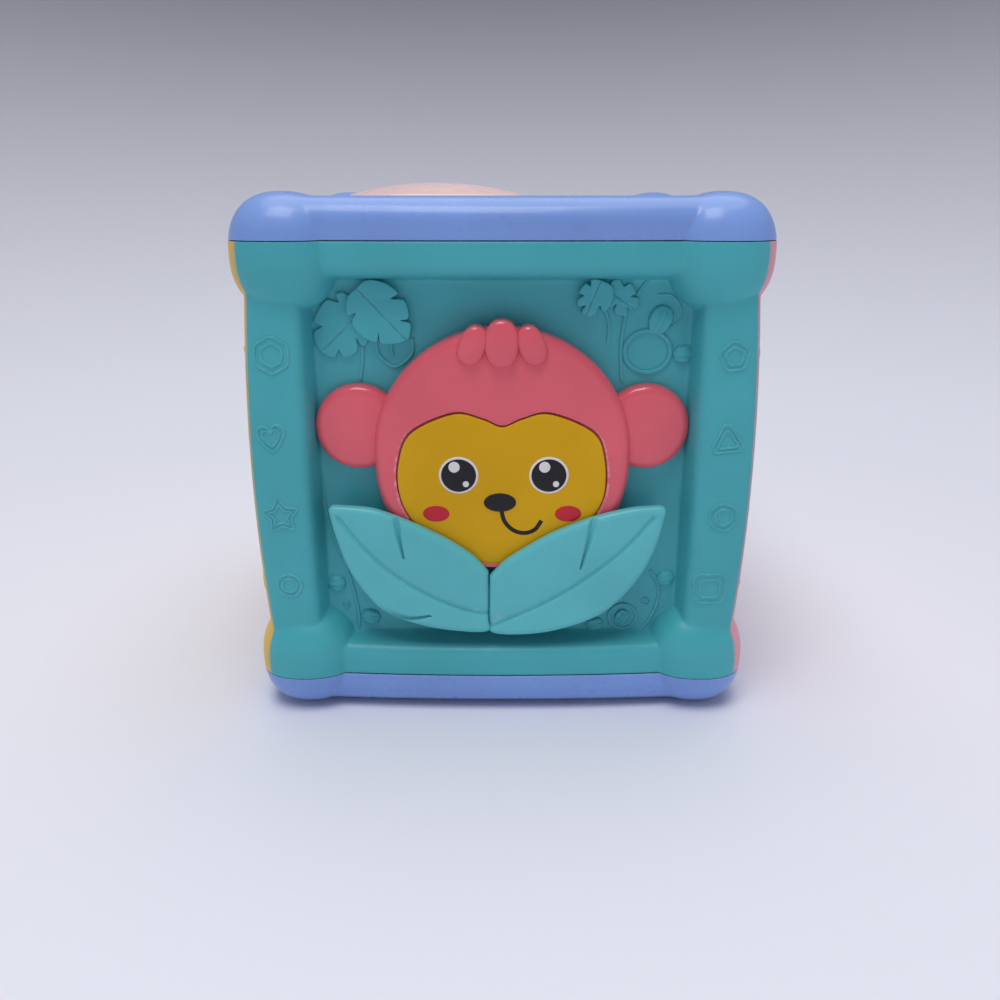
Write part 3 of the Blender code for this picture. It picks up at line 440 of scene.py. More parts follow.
def curve_mesh(
    curve: bpy.types.Curve, paths: Sequence[np.ndarray], cyclic: bool
) -> bpy.types.Object:
    """A closed mesh from a curve that has its bevel set and the given lines."""
    for path in paths:
        spline = curve.splines.new("POLY")
        spline.points.add(len(path) - 1)
        full = np.ones((len(path), 4))
        full[:, : path.shape[1]] = path
        if path.shape[1] == 2:
            full[:, 2] = 0
        spline.points.foreach_set("co", full.ravel())
        spline.use_cyclic_u = cyclic
    obj = bpy.data.objects.new(curve.name, curve)
    bpy.context.collection.objects.link(obj)
    make_active(obj)
    bpy.ops.object.convert(target="MESH")
    obj = bpy.context.view_layer.objects.active
    face_outward(obj)
    return obj


def tube(
    paths: Sequence[np.ndarray], radius: float, cyclic: bool = False, flat: float = 1.0
) -> bpy.types.Object:
    """Round bars along lines.

    Args:
        paths: The middle lines.
        radius: The bar's radius in metres.
        cyclic: Whether each line closes on itself.
        flat: The share that the bar's height out of the surface keeps.

    Returns:
        One mesh object that holds them all.
    """
    curve = bpy.data.curves.new("tube", "CURVE")
    curve.dimensions = "3D"
    curve.bevel_depth = radius
    curve.bevel_resolution = 2
    curve.use_fill_caps = True
    obj = curve_mesh(curve, paths, cyclic)
    if flat != 1.0:
        points = read_points(obj)
        middle = float(np.mean(np.concatenate([p[:, 2] for p in paths])))
        points[:, 2] = middle + (points[:, 2] - middle) * flat
        write_points(obj, points)
    return obj


def plate(
    outlines: Sequence[np.ndarray], low: float, high: float, edge: float
) -> bpy.types.Object:
    """Flat plates with rounded edges. An outline inside another one is a hole.

    Args:
        outlines: The rows of u and v round each edge.
        low: Where its back is along w.
        high: Where its front is along w.
        edge: The radius of its edges.

    Returns:
        The mesh object.
    """
    curve = bpy.data.curves.new("plate", "CURVE")
    curve.dimensions = "2D"
    curve.fill_mode = "BOTH"
    curve.extrude = (high - low) / 2 - edge
    curve.bevel_depth = edge
    curve.bevel_resolution = 3
    curve.offset = -edge
    obj = curve_mesh(curve, outlines, True)
    obj.data.transform(Matrix.Translation((0, 0, (low + high) / 2)))
    return obj


def drape(obj: bpy.types.Object, height: Height) -> bpy.types.Object:
    """Lifts each vertex by the height of the surface under it."""
    points = read_points(obj)
    points[:, 2] += height(points[:, 0], points[:, 1])
    write_points(obj, points)
    return obj


def round_outline(radius: float) -> Outline:
    """The outline of a circle, as its reach by direction."""
    return lambda turn: np.full_like(turn, radius)


def traced_outline(points: Sequence[Point], centre: Point) -> Outline:
    """The outline through some points, as its reach from a centre by direction."""
    given = np.array(points, float) - np.array(centre)
    turns = np.arctan2(given[:, 1], given[:, 0])
    order = np.argsort(turns)
    closed = smooth_path(given[order], True, 12)
    at = np.unwrap(np.arctan2(closed[:, 1], closed[:, 0]))
    reach = np.hypot(closed[:, 0], closed[:, 1])

    def outline(turn: np.ndarray) -> np.ndarray:
        return np.interp(turn, at, reach, period=2 * math.pi)

    return outline


def super_outline(half_u: float, half_v: float, power: float) -> Outline:
    """A superellipse's reach by direction."""

    def outline(turn: np.ndarray) -> np.ndarray:
        u = np.abs(np.cos(turn) / half_u) ** power
        v = np.abs(np.sin(turn) / half_v) ** power
        return (u + v) ** (-1 / power)

    return outline


def turned(
    profile: Sequence[Point],
    outline: Outline,
    centre: Point = (0.0, 0.0),
    segments: int = 96,
    inner: tuple[Outline, Point] | None = None,
) -> bpy.types.Object:
    """A closed body whose every ring follows an outline.

    Args:
        profile: Rows of a share of the outline and a place along w, from the back
            pole to the front pole. The first and the last share are 0. A third
            number says how far the ring follows the inner outline instead.
        outline: The outline's reach by direction.
        centre: The place of its axis in u and v.
        segments: How many vertices each ring has.
        inner: A second outline with its own centre.

    Returns:
        The mesh object.
    """
    rings = len(profile) - 1
    bpy.ops.mesh.primitive_uv_sphere_add(segments=segments, ring_count=rings, radius=1)
    obj = bpy.context.active_object
    points = read_points(obj)
    row = np.rint((1 - np.arccos(np.clip(points[:, 2], -1, 1)) / math.pi) * rings).astype(int)
    turn = np.arctan2(points[:, 1], points[:, 0])
    shares = np.array([p[0] for p in profile])[row]
    reach = outline(turn) * shares
    place = np.array(centre) + np.stack([reach * np.cos(turn), reach * np.sin(turn)], axis=1)
    if inner:
        change = np.array([p[2] if len(p) > 2 else 0.0 for p in profile])[row][:, None]
        within = inner[0](turn) * shares
        second = np.stack([within * np.cos(turn), within * np.sin(turn)], axis=1)
        place = place * (1 - change) + (np.array(inner[1]) + second) * change
    points[:, :2] = place
    points[:, 2] = np.array([p[1] for p in profile])[row]
    write_points(obj, points)
    return obj


def arc_rows(centre: Point, radius: float, start: float, end: float, count: int) -> list[Point]:
    """Points on an arc, from one angle to another in degrees."""
    turns = np.radians(np.linspace(start, end, count))
    return [(centre[0] + radius * math.cos(t), centre[1] + radius * math.sin(t)) for t in turns]


def cap_profile(radius: float, low: float, high: float, edge: float, dome: float) -> list[Point]:
    """The profile of a round cap with a rounded rim and a domed top.

    Args:
        radius: Its full radius, which the shares are of.
        low: Where it starts along w.
        high: Where the rim's rounding ends along w.
        edge: The radius of the rim's rounding.
        dome: How far the middle stands above the rim.

    Returns:
        The rows for turned().
    """
    rows = [(0.0, low), (0.5, low), (0.97, low), (1.0, low)]
    rows += [(1.0, low + (high - edge - low) * s) for s in (0.3, 0.7)]
    arc = arc_rows((radius - edge, high - edge), edge, 0, 88, 7)
    rows += [(a / radius, b) for a, b in arc]
    inner = (radius - edge) / radius
    for at in np.linspace(0.96, 0.0, 12):
        rows.append((inner * at, high + dome * (1 - at * at)))
    return rows


def smooth_max(first: np.ndarray, second: np.ndarray, blend: np.ndarray | float) -> np.ndarray:
    """The larger of two values, rounded off where they meet."""
    return (first + second + np.sqrt((first - second) ** 2 + blend**2)) / 2


def grid_lines(reach: float, cuts: Sequence[float] = ()) -> np.ndarray:
    """The places of a sheet's grid lines along one axis, finer near the rails.

    Args:
        reach: Where the last line is.
        cuts: Places that get a line of their own.

    Returns:
        The places, from minus reach to reach.
    """
    half = list(np.arange(0, 0.050, 0.0022)) + list(np.arange(0.050, 0.0592, 0.0009))
    half += list(np.arange(0.0592, 0.0660, 0.00042)) + list(np.linspace(0.0661, reach, 18))
    lines = sorted({round(s * x, 7) for x in half for s in (-1, 1)})
    kept = [x for x in lines if all(abs(x - c) > 0.0006 for c in cuts)]
    return np.array(sorted({*kept, *cuts}))


def grid_sheet(u_lines: np.ndarray, v_lines: np.ndarray) -> tuple[bpy.types.Object, np.ndarray]:
    """A flat grid whose lines are at the given places.

    Returns:
        The mesh object, and its vertices as rows of three numbers.
    """
    bpy.ops.mesh.primitive_grid_add(
        x_subdivisions=len(u_lines) - 1, y_subdivisions=len(v_lines) - 1, size=2
    )
    obj = bpy.context.active_object
    points = read_points(obj)
    columns = np.rint((points[:, 0] + 1) / 2 * (len(u_lines) - 1)).astype(int)
    rows = np.rint((points[:, 1] + 1) / 2 * (len(v_lines) - 1)).astype(int)
    points[:, 0] = u_lines[columns]
    points[:, 1] = v_lines[rows]
    return obj, points


def cut_windows(obj: bpy.types.Object, windows: Sequence[tuple[Point, Point]]) -> None:
    """Deletes the faces of a flat grid that lie in these rectangles."""
    if not windows:
        return
    middles = np.empty(len(obj.data.polygons) * 3, np.float32)
    obj.data.polygons.foreach_get("center", middles)
    middles = middles.reshape(-1, 3)
    chosen = np.zeros(len(middles), bool)
    for low, high in windows:
        inside = (middles[:, 0] > low[0]) & (middles[:, 0] < high[0])
        chosen |= inside & (middles[:, 1] > low[1]) & (middles[:, 1] < high[1])
    make_active(obj)
    bpy.ops.object.mode_set(mode="EDIT")
    bpy.ops.mesh.select_all(action="DESELECT")
    bpy.ops.object.mode_set(mode="OBJECT")
    obj.data.polygons.foreach_set("select", chosen)
    bpy.ops.object.mode_set(mode="EDIT")
    bpy.ops.mesh.select_mode(type="FACE")
    bpy.ops.mesh.delete(type="FACE")
    bpy.ops.object.mode_set(mode="OBJECT")


def swell_bosses(
    points: np.ndarray, root: Point, centre: Point, halves: Point, blend: float
) -> np.ndarray:
    """Pushes a sheet out onto the four corner bosses.

    Args:
        points: The sheet's vertices.
        root: The place inside a boss that the sheet is pushed away from, for the
            corner where u and v are positive.
        centre: The middle of that boss.
        halves: Its half sizes.
        blend: How wide the crease round it is, in metres.

    Returns:
        The moved vertices.
    """
    signs = np.where(points[:, :2] < 0, -1.0, 1.0)
    away = points.copy()
    away[:, :2] *= signs
    away -= np.array(root)
    length = np.linalg.norm(away, axis=1)
    ray = away / length[:, None]
    shift = np.array(root) - np.array(centre)
    low, high = np.zeros(len(ray)), np.full(len(ray), 0.06)
    for _ in range(28):
        mid = (low + high) / 2
        place = (shift + ray * mid[:, None]) / np.array(halves)
        inside = (np.abs(place) ** BOSS_POWER).sum(axis=1) < 1
        low, high = np.where(inside, mid, low), np.where(inside, high, mid)
    reach = smooth_max(length, low, blend)
    reach = np.where(length > low + 4 * blend, length, reach)
    moved = np.array(root) + ray * reach[:, None]
    moved[:, :2] *= signs
    return np.clip(moved, -OUTER_REACH, OUTER_REACH)


@dataclass
class Rails:
    """The cross-section that all six sides share.

    Attributes:
        recess_corner: The radius of the recess's corners in plan.
        draft: How far the recess's wall leans.
        crown: The radius of the rail's inner edge.
        fillet: The radius at the foot of the wall.
        edge: The radius of the cube's upright edges.
        round_drop: How far a rail's sides fall below its crest.
    """

    recess_corner: float = 0.0050
    draft: float = 0.0011
    crown: float = 0.0034
    fillet: float = 0.0012
    edge: float = 0.0040
    round_drop: float = 0.0010

    def step(self, inset: np.ndarray, floor: float, top: float) -> np.ndarray:
        """The height across the recess's wall, by the distance outside its edge."""
        crown = arc_rows((self.crown, top - self.crown), self.crown, 176, 90, 9)
        foot = arc_rows(
            (-self.draft - self.fillet, floor + self.fillet), self.fillet, -90, -6, 7
        )
        rows = [(-0.08, floor), *foot, *crown, (0.05, top)]
        at = np.array([r[0] for r in rows])
        return np.interp(inset, np.maximum.accumulate(at), [r[1] for r in rows])

    def outside(self, u: np.ndarray, v: np.ndarray, half: float) -> np.ndarray:
        """The signed distance outside a square with rounded corners."""
        reach_u = np.abs(u) - (half - self.recess_corner)
        reach_v = np.abs(v) - (half - self.recess_corner)
        beyond = np.hypot(np.maximum(reach_u, 0), np.maximum(reach_v, 0))
        return beyond + np.minimum(np.maximum(reach_u, reach_v), 0) - self.recess_corner

    def bow(self, along: np.ndarray) -> np.ndarray:
        """How far a rail swells out at a place along it."""
        return RAIL_BOW * np.maximum(0, 1 - (along / RECESS_HALF) ** 2)

    def height(self, u: np.ndarray, v: np.ndarray) -> np.ndarray:
        """The height of an upright side's surface before its bosses."""
        along = np.minimum(np.abs(u), np.abs(v))
        top = RAIL_FACE + self.bow(along)
        outside = self.outside(u, v, RECESS_HALF)
        across = np.clip(outside / (RAIL_FACE - RECESS_HALF), 0, 1)
        top -= self.round_drop * (1 - np.sin(math.pi * np.clip(across * 0.8 + 0.1, 0, 1)))
        step = self.step(outside, PANEL_FLOOR, RAIL_FACE)
        share = (step - PANEL_FLOOR) / (RAIL_FACE - PANEL_FLOOR)
        face = PANEL_FLOOR + share * (top - PANEL_FLOOR)
        edge = RAIL_FACE + self.bow(v)
        lean = np.clip(np.abs(u) - (edge - self.edge), 0, self.edge)
        face -= self.edge - np.sqrt(self.edge**2 - lean**2)
        seam = np.clip((np.abs(v) - (PANEL_HALF - SEAM_GAP / 2 - 0.0009)) / 0.0009, 0, 1)
        return face - 0.0003 * (1 - np.sqrt(1 - seam**2))


RAILS = Rails()


def panel_sheet(windows: Sequence[tuple[Point, Point]] = ()) -> bpy.types.Object:
    """One upright side as a closed shell, with bosses in its corners.

    Args:
        windows: Rectangles that are cut through its floor.

    Returns:
        The mesh object in the face's frame.
    """
    cuts_u = [p[0] for window in windows for p in window]
    cuts_v = [p[1] for window in windows for p in window]
    reach = RAIL_FACE - 0.2929 * RAILS.edge
    v_lines = grid_lines(PANEL_HALF - SEAM_GAP / 2, cuts_v)
    obj, points = grid_sheet(grid_lines(reach, cuts_u), v_lines)
    write_points(obj, points)
    cut_windows(obj, windows)
    kept = read_points(obj)
    u, v = kept[:, 0], kept[:, 1]
    edge = RAIL_FACE + RAILS.bow(v) - 0.2929 * RAILS.edge - SEAM_GAP / 2
    outer = np.clip((np.abs(u) - 0.066) / (reach - 0.066), 0, 1)
    u = np.where(np.abs(u) > 0.066, np.sign(u) * (0.066 + outer * (edge - 0.066)), u)
    points = np.stack([u, v, RAILS.height(u, v)], axis=1)
    seam = PANEL_HALF - SEAM_GAP / 2
    points = swell_bosses(
        points,
        (BOSS_PLACE, seam, BOSS_PLACE - SEAM_GAP / 2),
        (BOSS_PLACE, PANEL_HALF - BOSS_INSET, BOSS_PLACE),
        (BOSS_HALF, BOSS_TALL, BOSS_HALF),
        0.0004,
    )
    write_points(obj, points)
    apply_modifier(obj, "SOLIDIFY", thickness=WALL, offset=-1.0, use_even_offset=False)
    face_outward(obj)
    return obj


def lid_sheet(windows: Sequence[tuple[Point, Point]] = ()) -> bpy.types.Object:
    """A lid as a closed shell, measured out along w from its seam.

    Args:
        windows: Rectangles that are cut through its floor.

    Returns:
        The mesh object, with the seam at w 0.
    """
    shoulder = 0.0080
    side = RAIL_FACE
    crown = RAILS.crown
    section = [(RECESS_HALF - RAILS.draft - RAILS.fillet, LID_FLOOR_RISE)]
    section += arc_rows(
        (RECESS_HALF - RAILS.draft - RAILS.fillet, LID_FLOOR_RISE + RAILS.fillet),
        RAILS.fillet,
        -80,
        -6,
        5,
    )
    section += arc_rows((RECESS_HALF + crown, LID_RISE - crown), crown, 176, 92, 9)
    section += arc_rows((side - shoulder, LID_RISE - shoulder), shoulder, 90, 0, 16)
    section += [(side, z) for z in (0.0034, 0.0022, 0.0011, 0.0005)]
    section += [(side - 0.0001, SEAM_GAP / 2 + 0.0001), (side - 0.0003, SEAM_GAP / 2)]
    table = np.array(section)
    length = np.concatenate([[0], np.cumsum(np.hypot(*np.diff(table, axis=0).T))])
    start = float(table[0, 0])
    reach = start + float(length[-1])
    inner = list(np.arange(0, 0.050, 0.0022)) + list(np.arange(0.050, start, 0.0009))
    outer = list(np.arange(start, reach, 0.00062)) + [reach]
    lines = sorted({round(s * x, 7) for x in inner + outer for s in (-1, 1)})
    axes = []
    for axis in (0, 1):
        cuts = [p[axis] for window in windows for p in window]
        kept = [x for x in lines if all(abs(x - c) > 0.0006 for c in cuts)]
        axes.append(np.array(sorted({*kept, *cuts})))
    obj, points = grid_sheet(axes[0], axes[1])
    write_points(obj, points)
    cut_windows(obj, windows)
    kept = read_points(obj)
    a, b = np.abs(kept[:, 0]), np.abs(kept[:, 1])
    far, near = np.maximum(a, b), np.minimum(a, b)
    at = np.maximum(far - start, 0)
    half = np.where(far < start, far, np.interp(at, length, table[:, 0]))
    height = np.where(far < start, LID_FLOOR_RISE, np.interp(at, length, table[:, 1]))
    corner = np.interp(half, [0.055, RECESS_HALF, side], [0.0, RAILS.recess_corner, 0.0130])
    along = np.where(far > 0, near / np.maximum(far, 1e-9), 0)
    straight = half - corner
    path = along * (straight + corner * math.pi / 4)
    turn = np.where(corner > 0, (path - straight) / np.maximum(corner, 1e-9), 0)
    bent = path > straight
    side_place = np.where(bent, straight + corner * np.cos(turn), half)
    along_place = np.where(bent, straight + corner * np.sin(turn), path)
    swell = RAILS.bow(along_place) * np.clip((half - RECESS_HALF) / (side - RECESS_HALF), 0, 1)
    side_place = side_place + np.where(bent, 0, swell)
    wide = a >= b
    u = np.sign(kept[:, 0]) * np.where(wide, side_place, along_place)
    v = np.sign(kept[:, 1]) * np.where(wide, along_place, side_place)
    points = np.stack([u, v, height], axis=1)
    points = swell_bosses(
        points,
        (BOSS_PLACE, BOSS_PLACE, SEAM_GAP / 2),
        (BOSS_PLACE, BOSS_PLACE, -BOSS_INSET),
        (BOSS_HALF, BOSS_HALF, BOSS_TALL),
        0.0004,
    )
    write_points(obj, points)
    apply_modifier(obj, "SOLIDIFY", thickness=WALL, offset=-1.0, use_even_offset=False)
    face_outward(obj)
    return obj


@dataclass
class Casing:
    """The two lids and the four upright sides."""

    slider_reach: float = 0.0356
    slider_half: float = 0.0026

    def build(self) -> None:
        """Makes every outer shell."""
        stem = [((-0.0044, -0.0139), (0.0044, 0.0144))]
        sliders = [
            ((-self.slider_reach, v - self.slider_half), (self.slider_reach, v + self.slider_half))
            for v in (-0.020, -0.045)
        ]
        for name, finish, face, windows in (
            ("front_panel", "teal_abs", Face.FRONT, stem),
            ("left_panel", "yellow_abs", Face.LEFT, []),
            ("right_panel", "rose_abs", Face.RIGHT, []),
            ("back_panel", "mint_abs", Face.BACK, sliders),
        ):
            shell = panel_sheet(windows)
            finish_piece(shell, f"{name}_shell", finish, "cube", face, [name])
        top = lid_sheet()
        top.data.transform(Matrix.Translation((0, 0, HIGH_SEAM)))
        finish_piece(top, "top_lid_shell", "blue_abs", "cube", Face.TOP, ["top_lid"])
        grille = [
            ((0.031, v - 0.0012), (0.049, v + 0.0012)) for v in np.arange(-2, 3) * 0.0048
        ]
        door = [((-0.0420, -0.0222), (0.0210, 0.0222))]
        knob = [((0.0072, 0.0337), (0.0168, 0.0423))]
        bottom = lid_sheet([*door, *grille, *knob])
        bottom.data.transform(Matrix.Translation((0, 0, -LOW_SEAM)))
        points = read_points(bottom)
        points[:, 2] = np.minimum(points[:, 2], 0.0)
        write_points(bottom, points)
        finish_piece(
            bottom, "bottom_lid_shell", "blue_abs", "cube", Face.BOTTOM, ["bottom_lid"]
        )


def distance_to(points: np.ndarray, path: np.ndarray) -> np.ndarray:
    """How far each point is from a line of straight spans, in u and v."""
    best = np.full(len(points), 1.0)
    for start, end in zip(path[:-1, :2], path[1:, :2]):
        span = end - start
        along = ((points - start) @ span) / max(float(span @ span), 1e-12)
        near = start + np.clip(along, 0, 1)[:, None] * span
        best = np.minimum(best, np.hypot(*(points - near).T))
    return best


def millimetres(*pairs: Point) -> list[Point]:
    """Places given in millimetres, as metres."""
    return [tuple(c / 1000 for c in pair) for pair in pairs]


def close_back(obj: bpy.types.Object, low: float) -> None:
    """Extrudes an open sheet's border back to a level and fills it there.

    Args:
        obj: The open sheet, facing out along w.
        low: Where its back goes along w.
    """
    count = len(obj.data.vertices)
    make_active(obj)
    bpy.ops.object.mode_set(mode="EDIT")
    bpy.ops.mesh.select_mode(type="EDGE")
    bpy.ops.mesh.select_all(action="DESELECT")
    bpy.ops.mesh.select_non_manifold()
    bpy.ops.mesh.extrude_region()
    bpy.ops.object.mode_set(mode="OBJECT")
    points = read_points(obj)
    points[count:, 2] = low
    write_points(obj, points)
    bpy.ops.object.mode_set(mode="EDIT")
    bpy.ops.mesh.edge_face_add()
    bpy.ops.object.mode_set(mode="OBJECT")
    face_outward(obj)


@dataclass
class Monkey:
    """The sliding monkey's head on the front. Heights are above the recess floor.

    Attributes:
        centre_v: The middle of the head.
        half_u: Half its width.
        half_v: Half its height.
        face_v: The middle of the face.
        shell_low: Where the front shell starts.
        rim_top: The level round the face.
        seat: The level of the face's seat.
        skin_top: The face's rim.
    """

    centre_v: float = 0.0060
    half_u: float = 0.0409
    half_v: float = 0.0395
    face_v: float = -0.0065
    shell_low: float = 0.0029
    rim_top: float = 0.0087
    seat: float = 0.0068
    skin_top: float = 0.0086

    def head_outline(self) -> Outline:
        """The head's outline, round above and squarer below."""
        above = super_outline(self.half_u, self.half_v, 2.0)
        below = super_outline(self.half_u, self.half_v, 2.5)
        return lambda turn: np.where(np.sin(turn) > 0, above(turn), below(turn))

    def face_outline(self) -> Outline:
        """The face's outline, with two lobes above."""
        upper = millimetres((-33.1, 2.5), (-28.8, 12.5), (-15.3, 18.7), (-6.2, 17.0))
        upper += millimetres((0.0, 14.6), (6.2, 17.0), (14.9, 18.7), (28.6, 12.8), (32.6, 4.0))
        lower = millimetres((32.8, -8.0), (28.6, -16.8), (20.5, -26.2), (9.0, -30.8))
        lower += millimetres((-2.0, -31.8), (-12.0, -30.2), (-21.5, -25.8), (-29.1, -17.0))
        lower += millimetres((-33.0, -8.0))
        return traced_outline(upper + lower, (0.0, self.face_v))

    def dome(self, u: np.ndarray, v: np.ndarray) -> np.ndarray:
        """The height of the face's domed front."""
        away = (u / 0.033) ** 2 + ((v - self.face_v) / 0.0255) ** 2
        return self.skin_top + 0.0005 * np.maximum(0, 1 - away)

    def add(self, obj: bpy.types.Object, name: str, finish: str, *nodes: str) -> None:
        """Finishes one piece of the monkey."""
        finish_piece(obj, name, finish, "monkey", Face.FRONT, nodes, lift=PANEL_FLOOR)

    def build(self) -> None:
        """Makes the head, the ears, the tuft and the face."""
        self.head()
        for side, label in ((-1, "left"), (1, "right")):
            profile = cap_profile(0.0138, 0.0004, 0.0052, 0.0030, 0.0007)
            ear = turned(profile, round_outline(0.0138), (side * 0.0460, 0.0134), 80)
            self.add(ear, f"ear_{label}", "pink_abs")
        self.lock("tuft_lock_left", -0.0091, 0.0401, -0.42, 0.0043, 0.0063, 0.0018)
        self.lock("tuft_lock_right", 0.0090, 0.0401, 0.42, 0.0043, 0.0063, 0.0018)
        self.lock("tuft_lock_middle", -0.0002, 0.0407, 0.0, 0.0053, 0.0073, 0.0023)
        self.face()
        self.marks()

    def head(self) -> None:
        """Makes the round head with a seat for the face, and its back plate."""
        wide = self.half_u
        rim = 0.0034
        top = self.rim_top
        low = self.shell_low
        profile = [(0.0, low), (0.5, low), (0.97, low), (1.0, low + 0.0003)]
        profile += [(1.0, low + 0.0012), (1.0, low + 0.0020)]
        arc = arc_rows((wide - rim, top - 0.0002 - rim), rim, 0, 84, 10)
        profile += [(a / wide, b) for a, b in arc]
        inside = (wide - rim) / wide
        for at in np.linspace(0.08, 0.92, 14):
            profile.append((inside + (1 - inside) * at, top - 0.0002 + 0.0002 * at, at))
        edge = 1 + 0.0006 / 0.030
        profile += [(edge + 0.014, top, 1.0), (edge + 0.006, top - 0.0001, 1.0)]
        profile += [(edge, top - 0.0005, 1.0), (edge, top - 0.0012, 1.0), (edge, self.seat, 1.0)]
        profile += [(s, self.seat, 1.0) for s in (0.8, 0.4, 0.0)]
        face = (self.face_outline(), (0.0, self.face_v))
        shell = turned(profile, self.head_outline(), (0.0, self.centre_v), 176, face)
        self.add(shell, "head_dome", "pink_abs", "head_shell")
        outline = self.head_outline()
        rows = [(0.0, 0.0004), (0.9, 0.0004), (0.985, 0.0004), (1.0, 0.0008)]
        rows += [(1.0, 0.0022), (0.985, 0.0026), (0.9, 0.0026), (0.0, 0.0026)]
        back = turned(rows, outline, (0.0, self.centre_v), 128)
        self.add(back, "head_back", "pink_abs", "head_back_plate")

    def lock(
        self, name: str, u: float, v: float, lean: float, wide: float, long: float, high: float
    ) -> None:
        """Makes one lock of the tuft, lying on the top of the head."""
        top = self.rim_top
        rows = cap_profile(wide, top - 0.0050, top + high, 0.0017, 0.0005)
        obj = turned(rows, super_outline(wide, long, 2.3), (0.0, 0.0), 56)
        obj.data.transform(Matrix.Translation((u, v, 0)) @ Matrix.Rotation(lean, 4, "Z"))
        self.add(obj, name, "pink_abs")

    def face(self) -> None:
        """Makes the mustard face, domed and a little proud of its seat."""
        top = self.skin_top
        profile = [(0.0, self.seat), (0.6, self.seat), (0.985, self.seat), (1.0, top - 0.0012)]
        profile += [(1.0, top - 0.0005), (0.994, top - 0.0001), (0.985, top)]
        profile += [(s, top) for s in (0.95, 0.88, 0.78, 0.66, 0.52, 0.38, 0.24, 0.12, 0.0)]
        skin = turned(profile, self.face_outline(), (0.0, self.face_v), 144)
        points = read_points(skin)
        lift = self.dome(points[:, 0], points[:, 1]) - top
        points[:, 2] += np.where(points[:, 2] > top - 0.00001, lift, 0)
        write_points(skin, points)
        self.add(skin, "face_skin", "mustard_abs", "face_plate")

    def marks(self) -> None:
        """Prints the eyes, the nose, the mouth and the cheeks."""
        for side, label, u in ((-1, "left", -0.0139), (1, "right", 0.0149)):
            self.mark(f"eye_{label}_ring", "white_print", (u, -0.0010), 0.0063, 0.0061, 1)
            self.mark(f"eye_{label}_iris", "black_print", (u, -0.0011), 0.0056, 0.0054, 2)
            self.mark(f"eye_{label}_shine", "white_print", (u - 0.0014, 0.0017), 0.0018, 0.0018, 3)
            self.mark(f"eye_{label}_glint", "white_print", (u + 0.0023, -0.0039), 0.0010, 0.0010, 3)
            self.mark(f"cheek_{label}", "cheek_print", (side * 0.0213, -0.0140), 0.0043, 0.0027, 1)
        self.mark("nose", "black_print", (-0.0007, -0.0101), 0.0052, 0.0031, 3)
        smile = millimetres((-0.2, -13.0), (0.8, -16.6), (3.6, -19.6), (7.2, -20.6))
        smile += millimetres((10.6, -19.4), (12.7, -16.3))
        path = smooth_path(smile, False)
        mouth = tube([np.column_stack([path, np.zeros(len(path))])], 0.0007, flat=0.2)
        drape(mouth, self.dome)
        self.add(mouth, "mouth", "black_print")

    def mark(
        self, name: str, finish: str, centre: Point, half_u: float, half_v: float, layer: int
    ) -> None:
        """Makes a thin printed mark that follows the face's dome."""
        top = 0.00007 * layer
        rows = [(0.0, -0.0002), (0.9, -0.0002), (1.0, top * 0.5), (0.985, top)]
        rows += [(0.7, top), (0.35, top), (0.0, top)]
        obj = turned(rows, super_outline(half_u, half_v, 2.0), centre, 56)
        self.add(drape(obj, self.dome), name, finish)


